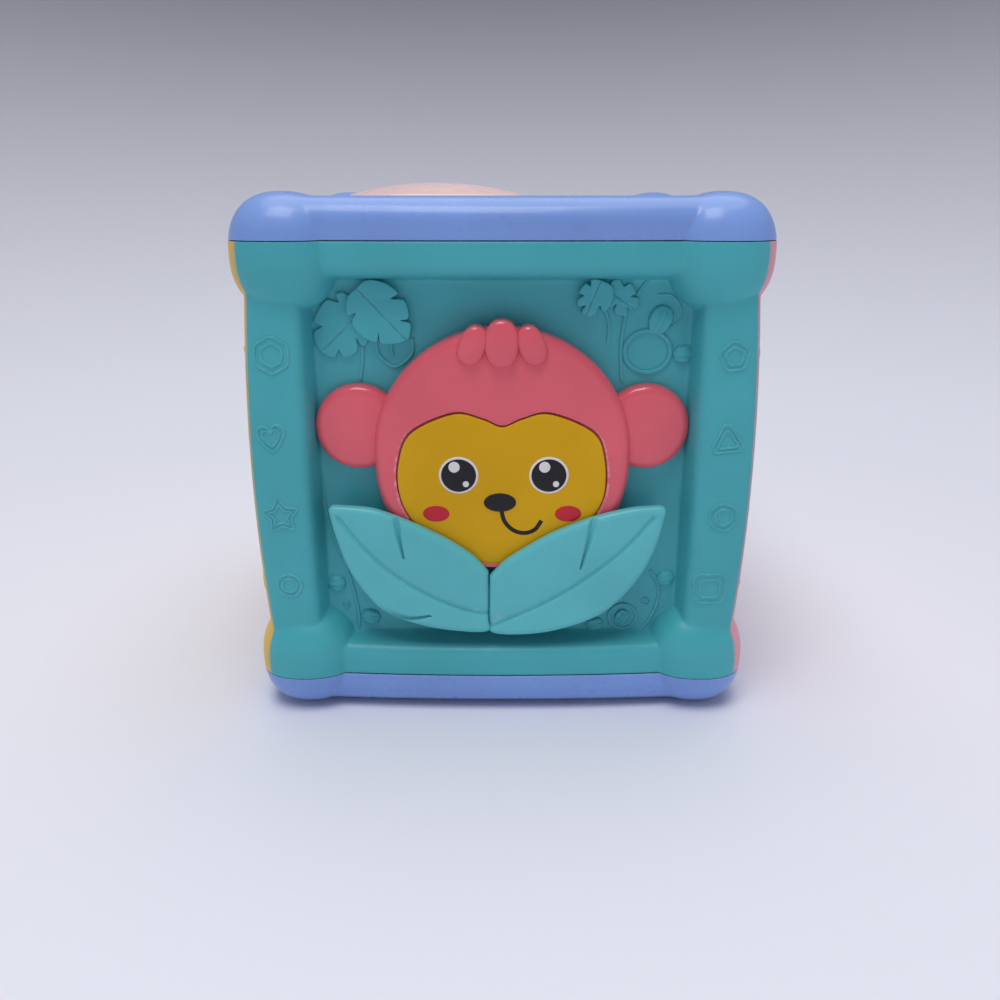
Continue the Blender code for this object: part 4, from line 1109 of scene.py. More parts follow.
@dataclass
class Pocket:
    """The two big leaves that the head sinks behind. Heights are above the floor.

    Attributes:
        low: The back of the leaves.
        high: The front of the leaves.
        edge: How far in their rounded edge reaches.
    """

    low: float = 0.0095
    high: float = 0.0128
    edge: float = 0.0022

    def build(self) -> None:
        """Makes both leaves with their midribs and slits."""
        upper = millimetres((-4.5, -33.5), (-7.6, -29.8), (-10.6, -27.0), (-17.5, -22.4))
        upper += millimetres((-27.5, -17.2), (-37.5, -13.0), (-43.5, -11.4), (-50.0, -10.9))
        upper += millimetres((-54.6, -10.8), (-55.7, -12.4))
        lower = millimetres((-4.5, -33.5), (-4.4, -42.0), (-4.5, -50.0), (-4.7, -54.6))
        lower += millimetres((-14.4, -54.6), (-25.7, -52.7), (-36.5, -48.7), (-43.0, -43.5))
        lower += millimetres((-50.0, -32.5), (-54.0, -20.5), (-55.7, -12.4))
        rib = millimetres((-4.6, -48.0), (-12.0, -46.6), (-21.0, -43.0), (-31.0, -37.2))
        rib += millimetres((-40.0, -30.0), (-48.0, -21.0), (-52.5, -14.5))
        slits = [
            (millimetres((-34.0, -13.5), (-33.4, -20.5), (-31.9, -28.6)), 0.0011),
            (millimetres((-38.5, -47.4), (-31.0, -49.6), (-23.6, -48.6)), 0.0012),
        ]
        self.leaf("left", upper, lower, rib, slits)
        upper = millimetres((-4.1, -35.0), (-2.0, -32.6), (1.4, -29.2), (8.3, -24.6))
        upper += millimetres((16.6, -19.8), (28.7, -14.8), (40.1, -11.8), (47.0, -11.0))
        upper += millimetres((51.6, -11.0), (52.6, -13.0))
        lower = millimetres((-4.1, -35.0), (-4.2, -44.0), (-4.1, -51.0), (-3.4, -55.2))
        lower += millimetres((5.6, -55.9), (17.2, -54.4), (29.8, -50.0), (38.0, -44.0))
        lower += millimetres((45.1, -34.9), (49.7, -25.0), (52.6, -13.0))
        rib = millimetres((-3.9, -52.6), (4.0, -49.0), (13.0, -44.6), (23.0, -38.6))
        rib += millimetres((33.0, -31.0), (41.0, -23.6), (48.5, -14.5))
        slits = [(millimetres((29.4, -13.8), (28.0, -22.0), (25.5, -32.0)), 0.0012)]
        self.leaf("right", upper, lower, rib, slits)
        self.pillars()

    def pillars(self) -> None:
        """Makes the four round pillars that hold the leaves off the floor."""
        places = millimetres((-45.2, -31.0), (-15.8, -50.4), (41.3, -31.0), (8.4, -50.4))
        for at, place in enumerate(places):
            foot = [(0.0, -0.0004), (1.5, -0.0004), (1.18, 0.0004), (1.0, 0.0014)]
            rows = [*foot, (1.0, self.low + 0.0002), (0.0, self.low + 0.0002)]
            pillar = turned(rows, round_outline(0.0030), place, 32)
            label = f"leaf_pillar_{at + 1}"
            # The pillars take the leaves' paler teal, which is painted light.
            finish_piece(pillar, label, "lit_teal_abs", "cube", Face.FRONT, lift=PANEL_FLOOR)

    def leaf(
        self,
        side: str,
        upper: list[Point],
        lower: list[Point],
        rib: list[Point],
        slits: list[tuple[list[Point], float]],
    ) -> None:
        """Makes one leaf from its two edges, its rib and its slits.

        Args:
            side: The name of its side.
            upper: Its upper edge, from the stem to the tip.
            lower: Its lower edge, from the stem to the tip.
            rib: The line of its midrib, from the stem to the tip.
            slits: Each slit's line and the width that it has at the edge.
        """
        count_u, count_v = 150, 60
        edges = [self.spaced(line, count_u + 1) for line in (lower, rib, upper)]
        steps = np.linspace(-1, 1, 2 * count_v + 1)
        obj, points = grid_sheet(np.arange(count_u + 1.0), steps)
        row = points[:, 0].astype(int)
        ends = [edge[row] for edge in edges]
        lean = np.sin(np.abs(points[:, 1]) * math.pi / 2)[:, None]
        outer = np.where(points[:, 1:2] < 0, ends[0], ends[2])
        place = ends[1] * (1 - lean) + outer * lean
        outline = np.concatenate([edges[0], edges[2][::-1]])
        inward = distance_to(place, outline)
        lack = 1 - np.clip(inward / self.edge, 0, 1)
        height = self.high - self.edge * 0.75 * (1 - np.sqrt(1 - lack**2))
        middle = distance_to(place, edges[1])
        height -= 0.0007 * np.exp(-((middle / 0.0007) ** 2))
        height -= 0.0006 * np.exp(-((middle / 0.0050) ** 1.2))
        for line, width in slits:
            path = smooth_path(line, False)
            taper = np.linspace(width, 0.00025, len(path) - 1)
            for at in range(len(path) - 1):
                near = distance_to(place, path[at : at + 2])
                depth = 0.0016 * np.exp(-((near / taper[at]) ** 2))
                height = np.minimum(height, self.high - depth)
        write_points(obj, np.column_stack([place, height]))
        face_outward(obj)
        close_back(obj, self.low)
        name = f"{side}_leaf"
        # The blade takes the panel's teal painted paler, as painted light.
        finish_piece(
            obj, f"{name}_blade", "lit_teal_abs", "cube", Face.FRONT, [name], 32, PANEL_FLOOR
        )

    def spaced(self, line: list[Point], count: int) -> np.ndarray:
        """A smooth line's places, evenly spaced along it."""
        path = smooth_path(line, False, 12)
        length = np.concatenate([[0], np.cumsum(np.hypot(*np.diff(path, axis=0).T))])
        at = np.linspace(0, length[-1], count)
        return np.column_stack([np.interp(at, length, path[:, axis]) for axis in (0, 1)])


@dataclass
class JungleRelief:
    """The raised plants in the front recess. Heights are above the recess floor.

    Attributes:
        sheet: How thick the small leaves are.
        vine: The radius of the vines.
    """

    sheet: float = 0.0016
    vine: float = 0.0006

    def add(self, obj: bpy.types.Object, name: str, angle: float = 40.0) -> None:
        """Finishes one raised piece."""
        finish_piece(obj, name, "teal_abs", "cube", Face.FRONT, (), angle, PANEL_FLOOR)

    def build(self) -> None:
        """Makes the leaves, the vines, the bud and the berries."""
        front = [(-44.4, 57.0), (-42.4, 58.9), (-39.3, 59.3), (-35.0, 58.0), (-31.9, 55.3)]
        front += [(-34.2, 53.7), (-30.3, 53.3), (-29.0, 50.2), (-29.1, 47.5), (-31.4, 47.0)]
        front += [(-28.5, 46.2), (-28.4, 43.6), (-29.5, 41.0), (-33.6, 39.8), (-37.8, 40.0)]
        front += [(-38.4, 42.9), (-39.0, 40.3), (-42.6, 41.4), (-45.4, 43.9), (-46.6, 46.6)]
        front += [(-45.2, 49.3), (-47.7, 48.6), (-48.1, 51.4), (-47.2, 54.6)]
        back = [(-47.4, 54.6), (-51.3, 55.0), (-50.6, 52.4), (-54.2, 53.2), (-57.0, 50.0)]
        back += [(-58.7, 46.4), (-56.2, 45.0), (-58.9, 43.2), (-58.4, 39.6), (-56.4, 36.6)]
        back += [(-52.8, 35.2), (-51.3, 37.6), (-50.2, 35.4), (-47.4, 35.8), (-45.2, 38.0)]
        back += [(-45.6, 41.2), (-43.8, 38.8), (-42.0, 40.4), (-42.0, 46.0)]
        self.frond("frond_back", back, [(-56.2, 37.8), (-44.8, 48.4)], 0.0, 0.8)
        self.frond("frond_front", front, [(-44.8, 57.2), (-30.0, 41.2)], 0.9, 1.0)
        left = [(29.8, 59.3), (33.6, 57.4), (34.1, 54.6), (33.0, 51.2), (31.0, 49.6)]
        left += [(30.0, 51.6), (28.6, 48.9), (26.2, 48.2), (24.4, 49.6), (25.6, 51.6)]
        left += [(23.4, 51.2), (23.2, 53.4), (25.0, 54.6), (23.4, 55.6), (25.6, 58.2)]
        left += [(27.0, 57.4), (27.2, 59.4)]
        right = [(33.4, 58.6), (36.0, 59.4), (37.4, 57.2), (39.4, 58.2), (41.2, 55.4)]
        right += [(39.8, 54.2), (42.1, 53.6), (41.9, 50.6), (40.0, 50.0), (38.6, 51.0)]
        right += [(38.8, 48.6), (36.2, 48.2), (34.6, 49.6), (35.2, 51.8), (33.4, 50.6)]
        right += [(32.6, 53.6), (33.0, 56.4)]
        self.frond("frond_small_right", right, [(33.4, 55.4), (41.2, 50.2)], 0.0, 0.8)
        self.frond("frond_small_left", left, [(30.0, 59.0), (25.9, 48.8)], 0.9, 0.9)
        stems = [
            [(-43.9, 38.6), (-44.2, 33.5), (-45.1, 28.4)],
            [(-39.6, 41.0), (-38.9, 36.1), (-33.9, 32.3), (-28.6, 36.1), (-28.2, 41.2)],
            [(-34.9, 41.0), (-34.9, 38.2), (-34.6, 35.6)],
            [(32.0, 49.8), (33.4, 45.2), (33.1, 40.0)],
            [(38.4, 49.0), (37.7, 43.6), (37.3, 37.6), (38.0, 27.6)],
            [(45.4, 60.0), (41.6, 54.4)],
            [(-59.9, -6.0), (-57.4, -22.0), (-52.6, -37.0), (-49.8, -50.0), (-49.4, -60.2)],
            [(50.4, -37.3), (53.4, -43.0), (53.1, -50.0), (50.6, -56.0), (46.8, -60.2)],
        ]
        for at, stem in enumerate(stems):
            self.vine_piece(f"vine_{at + 1}", millimetres(*stem), self.vine, False)
        curl = millimetres((48.2, 54.5), (52.4, 54.4), (55.3, 51.0), (55.6, 47.4), (52.6, 44.4))
        self.vine_piece("vine_curl", curl, 0.00035, False)
        self.ring("vine_ring", (0.0457, 0.0370), 0.0072, 0.0065, 0.0008)
        self.ring("berry_ring", (0.0416, -0.0544), 0.0047, 0.0045, 0.0006)
        self.bud("bud_top", (0.0492, 0.0466), 0.0034, 0.0050, -0.42)
        self.bud("bud_low", (0.0412, -0.0546), 0.0022, 0.0030, -0.60)
        for at, (u, v, wide, tall, turn) in enumerate(
            (
                (57.0, 36.1, 3.4, 3.1, 0.0),
                (-56.4, -42.0, 3.2, 3.0, 0.0),
                (-45.3, -54.4, 3.4, 2.8, -0.2),
                (55.6, -40.2, 3.2, 2.8, 0.1),
                (32.1, -57.2, 3.2, 2.4, 0.2),
            )
        ):
            self.berry(f"berry_{at + 1}", (u / 1000, v / 1000), wide / 1000, tall / 1000, turn)
        for at, place in enumerate(((-0.0535, -0.0499), (0.0493, -0.0487))):
            rows = [(0.0, -0.0006), (1.0, -0.0006), (1.0, 0.0003), (0.82, 0.0005)]
            rows += [(0.70, 0.0002), (0.62, -0.0003), (0.3, -0.0003), (0.0, -0.0003)]
            self.add(turned(rows, round_outline(0.0014), place, 32), f"pin_mark_{at + 1}")

    def frond(
        self, name: str, outline: list[Point], rib: list[Point], base: float, thick: float
    ) -> None:
        """Makes one notched leaf with a midrib groove.

        Args:
            name: The piece's name.
            outline: Its outline in millimetres.
            rib: The two ends of its midrib in millimetres.
            base: How far it lies above the floor, in sheets.
            thick: How thick it is, in sheets.
        """
        edge = smooth_path(millimetres(*outline), True, 3)
        high = (base + thick) * self.sheet
        leaf = plate([edge], -0.0004, high, 0.0004)
        line = np.array(millimetres(*rib))
        path = np.column_stack([line, np.full(2, high)])
        groove = tube([path], 0.00035)
        apply_modifier(leaf, "BOOLEAN", object=groove, operation="DIFFERENCE", solver="EXACT")
        bpy.data.objects.remove(groove)
        self.add(leaf, name, 30)

    def vine_piece(self, name: str, line: list[Point], radius: float, cyclic: bool) -> None:
        """Makes one vine half sunk in the floor."""
        path = smooth_path(line, cyclic)
        middle = np.full(len(path), radius * 0.2)
        self.add(tube([np.column_stack([path, middle])], radius, cyclic), name)

    def ring(self, name: str, centre: Point, half_u: float, half_v: float, radius: float) -> None:
        """Makes a vine that loops round on itself."""
        turns = np.linspace(0, 2 * math.pi, 41)[:-1]
        line = [(centre[0] + half_u * math.cos(t), centre[1] + half_v * math.sin(t)) for t in turns]
        self.vine_piece(name, line, radius, True)

    def bud(self, name: str, centre: Point, wide: float, long: float, lean: float) -> None:
        """Makes a pointed bud with ridges that run up to its tip."""
        rows = cap_profile(wide, -0.0006, 0.0012, 0.0008, 0.0006)

        def pointed(turn: np.ndarray) -> np.ndarray:
            up = (1 + np.sin(turn)) / 2
            return wide + (long - wide) * up**3 + (long - wide) * 0.5 * (1 - up) ** 3

        obj = turned(rows, pointed, (0.0, 0.0), 64)
        points = read_points(obj)
        ridge = np.cos(points[:, 0] / wide * 7.5) * (points[:, 2] > 0.0008)
        points[:, 2] += 0.00016 * ridge
        write_points(obj, points)
        obj.data.transform(Matrix.Translation((*centre, 0)) @ Matrix.Rotation(lean, 4, "Z"))
        self.add(obj, name)

    def berry(self, name: str, centre: Point, wide: float, tall: float, turn: float) -> None:
        """Makes a round berry with stripes across it."""
        rows = [(0.0, -0.0006), (0.6, -0.0006), (1.0, -0.0006)]
        rows += [(math.cos(t), 0.0019 * math.sin(t)) for t in np.linspace(0.02, 1.54, 12)]
        rows.append((0.0, 0.0019))
        obj = turned(rows, super_outline(wide, tall, 2.0), (0.0, 0.0), 48)
        points = read_points(obj)
        stripe = np.cos(points[:, 1] / tall * 9.5) * (points[:, 2] > 0.0002)
        points[:, 2] += 0.00018 * stripe
        write_points(obj, points)
        obj.data.transform(Matrix.Translation((*centre, 0)) @ Matrix.Rotation(turn, 4, "Z"))
        self.add(obj, name)


def shape_line(kind: str, centre: Point, half: float, turn: float = 0.0) -> np.ndarray:
    """The outline of a simple nursery shape.

    Args:
        kind: star, heart, circle, or a count of sides.
        centre: Its middle.
        half: Half its width.
        turn: How far it is turned, in radians.

    Returns:
        The places round it.
    """
    if kind == "circle":
        corners = [(math.cos(t), math.sin(t)) for t in np.linspace(0, 2 * math.pi, 25)[:-1]]
    elif kind == "star":
        reach = [1.0, 0.60] * 5
        steps = np.linspace(0, 2 * math.pi, 11)[:-1] + math.pi / 2
        corners = [(r * math.cos(t), r * math.sin(t)) for r, t in zip(reach, steps)]
    elif kind == "heart":
        corners = [(0.0, -1.0), (0.62, -0.42), (1.0, 0.22), (0.86, 0.72), (0.46, 0.86)]
        corners += [(0.12, 0.64), (0.0, 0.46)]
        corners += [(-u, v) for u, v in reversed(corners[1:-1])]
    else:
        sides = int(kind)
        steps = np.linspace(0, 2 * math.pi, sides + 1)[:-1] + math.pi / 2
        points = [np.array((math.cos(t), math.sin(t))) for t in steps]
        corners = []
        for at, corner in enumerate(points):
            before, after = points[at - 1], points[(at + 1) % sides]
            corners += [corner + (before - corner) * s for s in (0.34, 0.16)]
            corners += [corner + (after - corner) * s for s in (0.16, 0.34)]
    spun = np.array(corners) * half
    cos, sin = math.cos(turn), math.sin(turn)
    return smooth_path(np.array(centre) + spun @ np.array(((cos, sin), (-sin, cos))), True, 4)


@dataclass
class RailShapes:
    """The doubled outlines of nursery shapes along the upright rails.

    Attributes:
        radius: The radius of the raised line.
        inner: The size of the inner outline, as a share.
    """

    radius: float = 0.00048
    inner: float = 0.62

    def build(self) -> None:
        """Makes the shapes on all four upright sides."""
        front = [
            ("6", -70.2, 37.6, 5.9, 0.0),
            ("heart", -72.0, 12.0, 4.4, 0.1),
            ("star", -70.9, -13.8, 5.9, 0.1),
            ("circle", -69.9, -38.2, 3.9, 0.0),
            ("5", 70.7, 37.2, 5.0, 0.1),
            ("3", 70.3, 10.8, 6.6, 0.1),
            ("6", 70.8, -14.2, 4.9, 0.2),
            ("4", 68.3, -39.4, 7.2, 0.8),
        ]
        self.side("front", "teal_abs", Face.FRONT, front)
        others = (("left", "yellow_abs", Face.LEFT), ("right", "rose_abs", Face.RIGHT))
        for at, (label, finish, face) in enumerate((*others, ("back", "mint_abs", Face.BACK))):
            kinds = ["star", "6", "heart", "circle", "5", "4", "3", "6"]
            kinds = kinds[at:] + kinds[:at]
            rows = [
                (kinds[row + 4 * column], (69.9, -69.9)[column], v, 5.3, 0.15 * row)
                for column in (0, 1)
                for row, v in enumerate((37.5, 12.0, -13.5, -38.5))
            ]
            self.side(label, finish, face, rows)
        corners = [("star", -44.5, 44.5), ("heart", 44.5, 44.5), ("5", 44.5, -44.5)]
        gear_side = [("star", -43, 42), ("heart", 42, 42), ("6", 41, -41)]
        floors = (
            ("left", "yellow_abs", Face.LEFT, gear_side),
            ("right", "rose_abs", Face.RIGHT, [*corners, ("3", -44.5, -44.5)]),
            ("back", "mint_abs", Face.BACK, [("5", -45, 43), ("star", 45, 43), ("3", 46, 8)]),
            ("top", "blue_abs", Face.TOP, [("star", -48, 45), ("heart", -48, -45)]),
        )
        for label, finish, face, shapes in floors:
            level = HIGH_SEAM + LID_FLOOR_RISE if face is Face.TOP else PANEL_FLOOR
            rows = [(kind, u, v, 6.2, 0.0) for kind, u, v in shapes]
            self.side(label, finish, face, rows, level)

    def side(
        self,
        label: str,
        finish: str,
        face: Face,
        shapes: list[tuple],
        level: float | None = None,
    ) -> None:
        """Makes the shapes of one side.

        Args:
            label: The side's name.
            finish: Its finish.
            face: The side.
            shapes: Each shape's kind, place, half width and turn, in millimetres.
            level: The flat level that they lie on, or None for the rails.
        """
        for at, (kind, u, v, half, turn) in enumerate(shapes):
            centre = (u / 1000, v / 1000)
            lines = [
                shape_line(kind, centre, half / 1000 * share, turn) for share in (1.0, self.inner)
            ]
            paths = []
            for line in lines:
                keep = np.clip(line[:, 0], -0.0762, 0.0762)
                rail = RAILS.height(keep, line[:, 1])
                height = rail if level is None else np.full(len(line), level)
                paths.append(np.column_stack([keep, line[:, 1], height - 0.00008]))
            obj = tube(paths, self.radius, True)
            place = "rail" if level is None else "floor"
            finish_piece(obj, f"{label}_{place}_shape_{at + 1}", finish, "cube", face)


def capsule(start: Point, end: Point, radius: float) -> np.ndarray:
    """The outline round two places, with half round ends."""
    first, last = np.array(start, float), np.array(end, float)
    base = math.atan2(last[1] - first[1], last[0] - first[0])
    turns = np.linspace(-math.pi / 2, math.pi / 2, 11) + base
    arc = np.stack([np.cos(turns), np.sin(turns)], axis=1) * radius
    return np.concatenate([last + arc, first - arc])


def circle_line(centre: Point, radius: float, count: int = 48) -> np.ndarray:
    """The places round a circle."""
    turns = np.linspace(0, 2 * math.pi, count + 1)[:-1]
    return np.array(centre) + radius * np.stack([np.cos(turns), np.sin(turns)], axis=1)


def ring_places(centre: Point, radius: float, count: int, start: float = 90.0) -> list[Point]:
    """Evenly spaced places round a circle, from a start in degrees."""
    turns = [math.radians(start + 360 * at / count) for at in range(count)]
    return [(centre[0] + radius * math.cos(t), centre[1] + radius * math.sin(t)) for t in turns]


def pocket(obj: bpy.types.Object, cutter: bpy.types.Object, face: Face | None) -> None:
    """Cuts one shaped cutter out of a piece and removes the cutter."""
    if face:
        cutter.data.transform(face.matrix())
    apply_modifier(obj, "BOOLEAN", object=cutter, operation="DIFFERENCE", solver="EXACT")
    bpy.data.objects.remove(cutter)


def headed_cap(
    radius: float, low: float, seat: float, top: float, stem: float, centre: Point
) -> bpy.types.Object:
    """A pin with a domed round head.

    Args:
        radius: The head's radius.
        low: The end of the stem along w.
        seat: The underside of the head.
        top: The top of the head's dome.
        stem: The stem's radius.
        centre: The place of its axis.

    Returns:
        The mesh object.
    """
    tall = top - seat
    head = cap_profile(radius, seat, top - tall * 0.28, tall * 0.45, tall * 0.28)
    share = stem / radius
    rows = [(0.0, low), (share, low), (share, seat), *head[2:]]
    return turned(rows, round_outline(radius), centre, 64)


# The caps of the gears' and the flower's axles: radius, stem's end, seat, top and stem.
AXLE_CAP = (0.0065, 0.0691, 0.0752, 0.0776, 0.0036)
CLOCK_CAP = (0.0068, 0.0690, 0.0752, 0.0787, 0.0026)


@dataclass
class Copied:
    """Pieces that start from a copy of a node's own mesh, with softened edges."""

    frame: dict
    width: float = 0.0005

    def start(self, node: str) -> bpy.types.Object:
        """A new object with its own copy of a node's mesh."""
        source = self.frame["nodes"][node]
        mesh = source.data.copy()
        mesh.transform(source.matrix_world)
        obj = bpy.data.objects.new(f"{node}_copy", mesh)
        bpy.context.collection.objects.link(obj)
        face_outward(obj)
        return obj

    def end(self, obj: bpy.types.Object, node: str, name: str, finish: str, body: str) -> None:
        """Softens the copy's edges and lets it stand for its node."""
        apply_modifier(
            obj,
            "BEVEL",
            width=self.width,
            segments=2,
            limit_method="ANGLE",
            angle_limit=math.radians(32),
        )
        finish_piece(obj, name, finish, body, None, [node], 36)


@dataclass
class Gears:
    """The three meshing gears on the left side.

    Attributes:
        copied: How a gear starts from its node.
        face_level: The gears' front.
        pocket_depth: How deep the round pockets are.
    """

    copied: Copied
    face_level: float = 0.0749
    pocket_depth: float = 0.0018

    def build(self) -> None:
        """Makes the gears, their rings and their axle caps."""
        first, middle, small = (-0.0240, -0.0220), (0.01757, 0.0020), (-0.00143, 0.03491)
        spots = ring_places(first, 0.0146, 6, -90.0)[1:]
        self.gear(1, "large_gear", "orange_abs", first, 0.0223, spots, 0.0040)
        spots = ring_places(middle, 0.0108, 6)
        self.gear(2, "middle_gear", "mint_abs", middle, 0.0144, spots, 0.0022)
        spots = ring_places(small, 0.0099, 6)
        self.gear(3, "small_gear", "blue_abs", small, 0.0126, spots, 0.0017)

    def gear(
        self,
        number: int,
        body: str,
        finish: str,
        centre: Point,
        ring: float,
        spots: list[Point],
        wide: float,
    ) -> None:
        """Makes one gear.

        Args:
            number: The number in its nodes' names.
            body: The body that it turns with.
            finish: Its finish.
            centre: The place of its axle.
            ring: The radius of its raised ring.
            spots: The places of its round pockets.
            wide: The radius of a pocket.
        """
        wheel = self.copied.start(f"gear_{number}")
        floor = self.face_level - self.pocket_depth
        for spot in spots:
            rows = [(0.0, floor), (1.0, floor), (1.0, floor + 0.01), (0.0, floor + 0.01)]
            pocket(wheel, turned(rows, round_outline(wide), spot, 28), Face.LEFT)
        self.copied.end(wheel, f"gear_{number}", f"{body}_wheel", finish, body)
        line = circle_line(centre, ring, 72)
        hoop = tube([np.column_stack([line, np.full(72, self.face_level)])], 0.00055, True)
        finish_piece(hoop, f"{body}_ring", finish, body, Face.LEFT)
        cap = headed_cap(*AXLE_CAP, centre)
        finish_piece(cap, f"{body}_cap", "cream_abs", "cube", Face.LEFT, [f"gear_axle_{number}"])


@dataclass
class Clock:
    """The toy clock on the right side.

    Attributes:
        copied: How a hand starts from its node.
        radius: The dial's radius.
        rim: The level of the dial's rim.
        level: The level inside the rim.
    """

    copied: Copied
    radius: float = 0.0450
    rim: float = 0.0708
    level: float = 0.0702

    def build(self) -> None:
        """Makes the dial, its ticks and its sun, the hands and the pin."""
        low = PANEL_FLOOR + 0.0003
        edge = 0.0010
        rows = [(0.0, low), (0.9, low), (1.0, low), (1.0, self.rim - edge)]
        arc = arc_rows((self.radius - edge, self.rim - edge), edge, 15, 90, 6)
        rows += [(a / self.radius, b) for a, b in arc]
        rows += [(0.950, self.rim), (0.938, self.rim - 0.0001), (0.932, self.level + 0.0002)]
        rows += [(0.926, self.level), *((s, self.level) for s in (0.8, 0.5, 0.2, 0.0))]
        dial = turned(rows, round_outline(self.radius), segments=144)
        finish_piece(dial, "clock_face", "cream_abs", "cube", Face.RIGHT, ["clock_dial"])
        ticks = []
        for at in range(12):
            turn = math.radians(30 * at)
            way = np.array((math.cos(turn), math.sin(turn)))
            inner, wide = (0.0330, 0.0013) if at % 3 == 0 else (0.0356, 0.0008)
            ticks.append(capsule(way * inner, way * 0.0385, wide))
        bars = plate(ticks, self.level - 0.0002, self.level + 0.0005, 0.00022)
        finish_piece(bars, "clock_ticks", "mint_abs", "cube", Face.RIGHT)
        rows = [(0.0, self.level - 0.0003), (1.0, self.level - 0.0003), (1.0, self.level + 0.0003)]
        rows += [(0.985, self.level + 0.0006)]
        rows += [(share, self.level + 0.0007) for share in (0.9, 0.5, 0.0)]

        def rays(turn: np.ndarray) -> np.ndarray:
            return 0.0255 + 0.0016 * np.cos(12 * turn)

        sun = turned(rows, rays, segments=192)
        finish_piece(sun, "clock_sun", "yellow_abs", "cube", Face.RIGHT)
        for node, finish, body in (
            ("hour_hand", "orange_abs", "clock_hour"),
            ("minute_hand", "blue_abs", "clock_minute"),
        ):
            self.copied.end(self.copied.start(node), node, f"{node}_arrow", finish, body)
        cap = headed_cap(*CLOCK_CAP, (0.0, 0.0))
        finish_piece(cap, "clock_cap", "pink_abs", "cube", Face.RIGHT, ["clock_pin"])


@dataclass
class BackToys:
    """The spinning flower and the two sliding buttons on the back.

    Attributes:
        flower_v: The flower's height.
        reach: The petals' reach.
        notch: The reach between two petals.
        button: A sliding button's radius.
        button_top: The level of a button's top.
    """

    flower_v: float = 0.0220
    reach: float = 0.0270
    notch: float = 0.0185
    button: float = 0.0105
    button_top: float = 0.0754

    def petals(self, turn: np.ndarray) -> np.ndarray:
        """The reach of the six petals by direction."""
        return self.notch + (self.reach - self.notch) * np.abs(np.cos(3 * turn)) ** 0.6

    def build(self) -> None:
        """Makes the flower and the buttons with their tracks."""
        self.flower()
        for number, body, u, v, finish in (
            (1, "upper_slider", -0.0330, -0.0200, "orange_abs"),
            (2, "lower_slider", 0.0330, -0.0450, "blue_abs"),
        ):
            track = capsule((-0.0330, v), (0.0330, v), 0.0040)
            rim = tube([np.column_stack([track, np.full(len(track), 0.06825)])], 0.0005, True)
            finish_piece(rim, f"{body}_track", "mint_abs", "cube", Face.BACK)
            self.slider(number, body, (u, v), finish)
        for at, u in enumerate(np.linspace(-0.036, 0.036, 7)):
            rows = [(0.0, -0.0004), (1.0, -0.0004)]
            rows += [(math.cos(t), 0.0011 * math.sin(t)) for t in np.linspace(0.02, 1.5, 8)]
            rows.append((0.0, 0.0011))
            bead = turned(rows, round_outline(0.0014), (float(u), -0.0325), 28)
            finish_piece(bead, f"bead_{at + 1}", "mint_abs", "cube", Face.BACK, lift=PANEL_FLOOR)

    def flower(self) -> None:
        """Makes the petals, the flower's middle and its pin."""
        centre = (0.0, self.flower_v)
        rows = cap_profile(self.reach, 0.0691, 0.0739, 0.0022, 0.0005)
        petals = turned(rows, self.petals, centre, 192)
        points = read_points(petals)
        u, v = points[:, 0], points[:, 1] - self.flower_v
        away, turn = np.hypot(u, v), np.arctan2(v, u)
        aside = away * np.abs(np.cos(3 * turn)) / 3
        crease = np.exp(-((aside / 0.0011) ** 2)) * np.clip((away - 0.010) / 0.005, 0, 1)
        points[:, 2] -= 0.0012 * crease * (points[:, 2] > 0.0722)
        write_points(petals, points)
        finish_piece(petals, "flower_petals", "pink_abs", "flower", Face.BACK, ["flower_spinner"])
        rows = [(0.0, 0.0735), (1.0, 0.0735), (1.0, 0.0743), (0.97, 0.0748), (0.9, 0.0750)]
        rows += [(0.7, 0.0750), (0.3, 0.0750), (0.0, 0.0750)]
        middle = turned(rows, round_outline(0.0108), centre, 64)
        finish_piece(middle, "flower_middle", "yellow_abs", "flower", Face.BACK)
        dots = [circle_line(spot, 0.0017, 20) for spot in ring_places(centre, 0.0190, 6, 0.0)]
        dots = plate(dots, 0.0730, 0.0748, 0.0004)
        finish_piece(dots, "flower_dots", "cream_abs", "flower", Face.BACK)
        cap = headed_cap(*AXLE_CAP, centre)
        finish_piece(cap, "flower_cap", "cream_abs", "cube", Face.BACK, ["spinner_pin"])

    def slider(self, number: int, body: str, place: Point, finish: str) -> None:
        """Makes one button with a finger dish and a ribbed side."""
        share = 0.0022 / self.button
        rows = [(0.0, 0.0659), (share, 0.0659), (share, 0.0689), (0.96, 0.0689), (1.0, 0.0692)]
        rows += [(1.0, w) for w in (0.0705, 0.0720, 0.0735)]
        arc = arc_rows((self.button - 0.0018, self.button_top - 0.0018), 0.0018, 5, 90, 7)
        rows += [(a / self.button, b) for a, b in arc]
        top = self.button_top
        rows += [(0.72, top), (0.64, top - 0.0003), (0.52, top - 0.0008), (0.36, top - 0.0011)]
        rows += [(0.18, top - 0.0013), (0.0, top - 0.0013)]

        def ribbed(turn: np.ndarray) -> np.ndarray:
            return self.button - 0.00022 * (1 - np.cos(24 * turn))

        knob = turned(rows, ribbed, place, 192)
        finish_piece(knob, f"{body}_knob", finish, body, Face.BACK, [f"slide_button_{number}"])


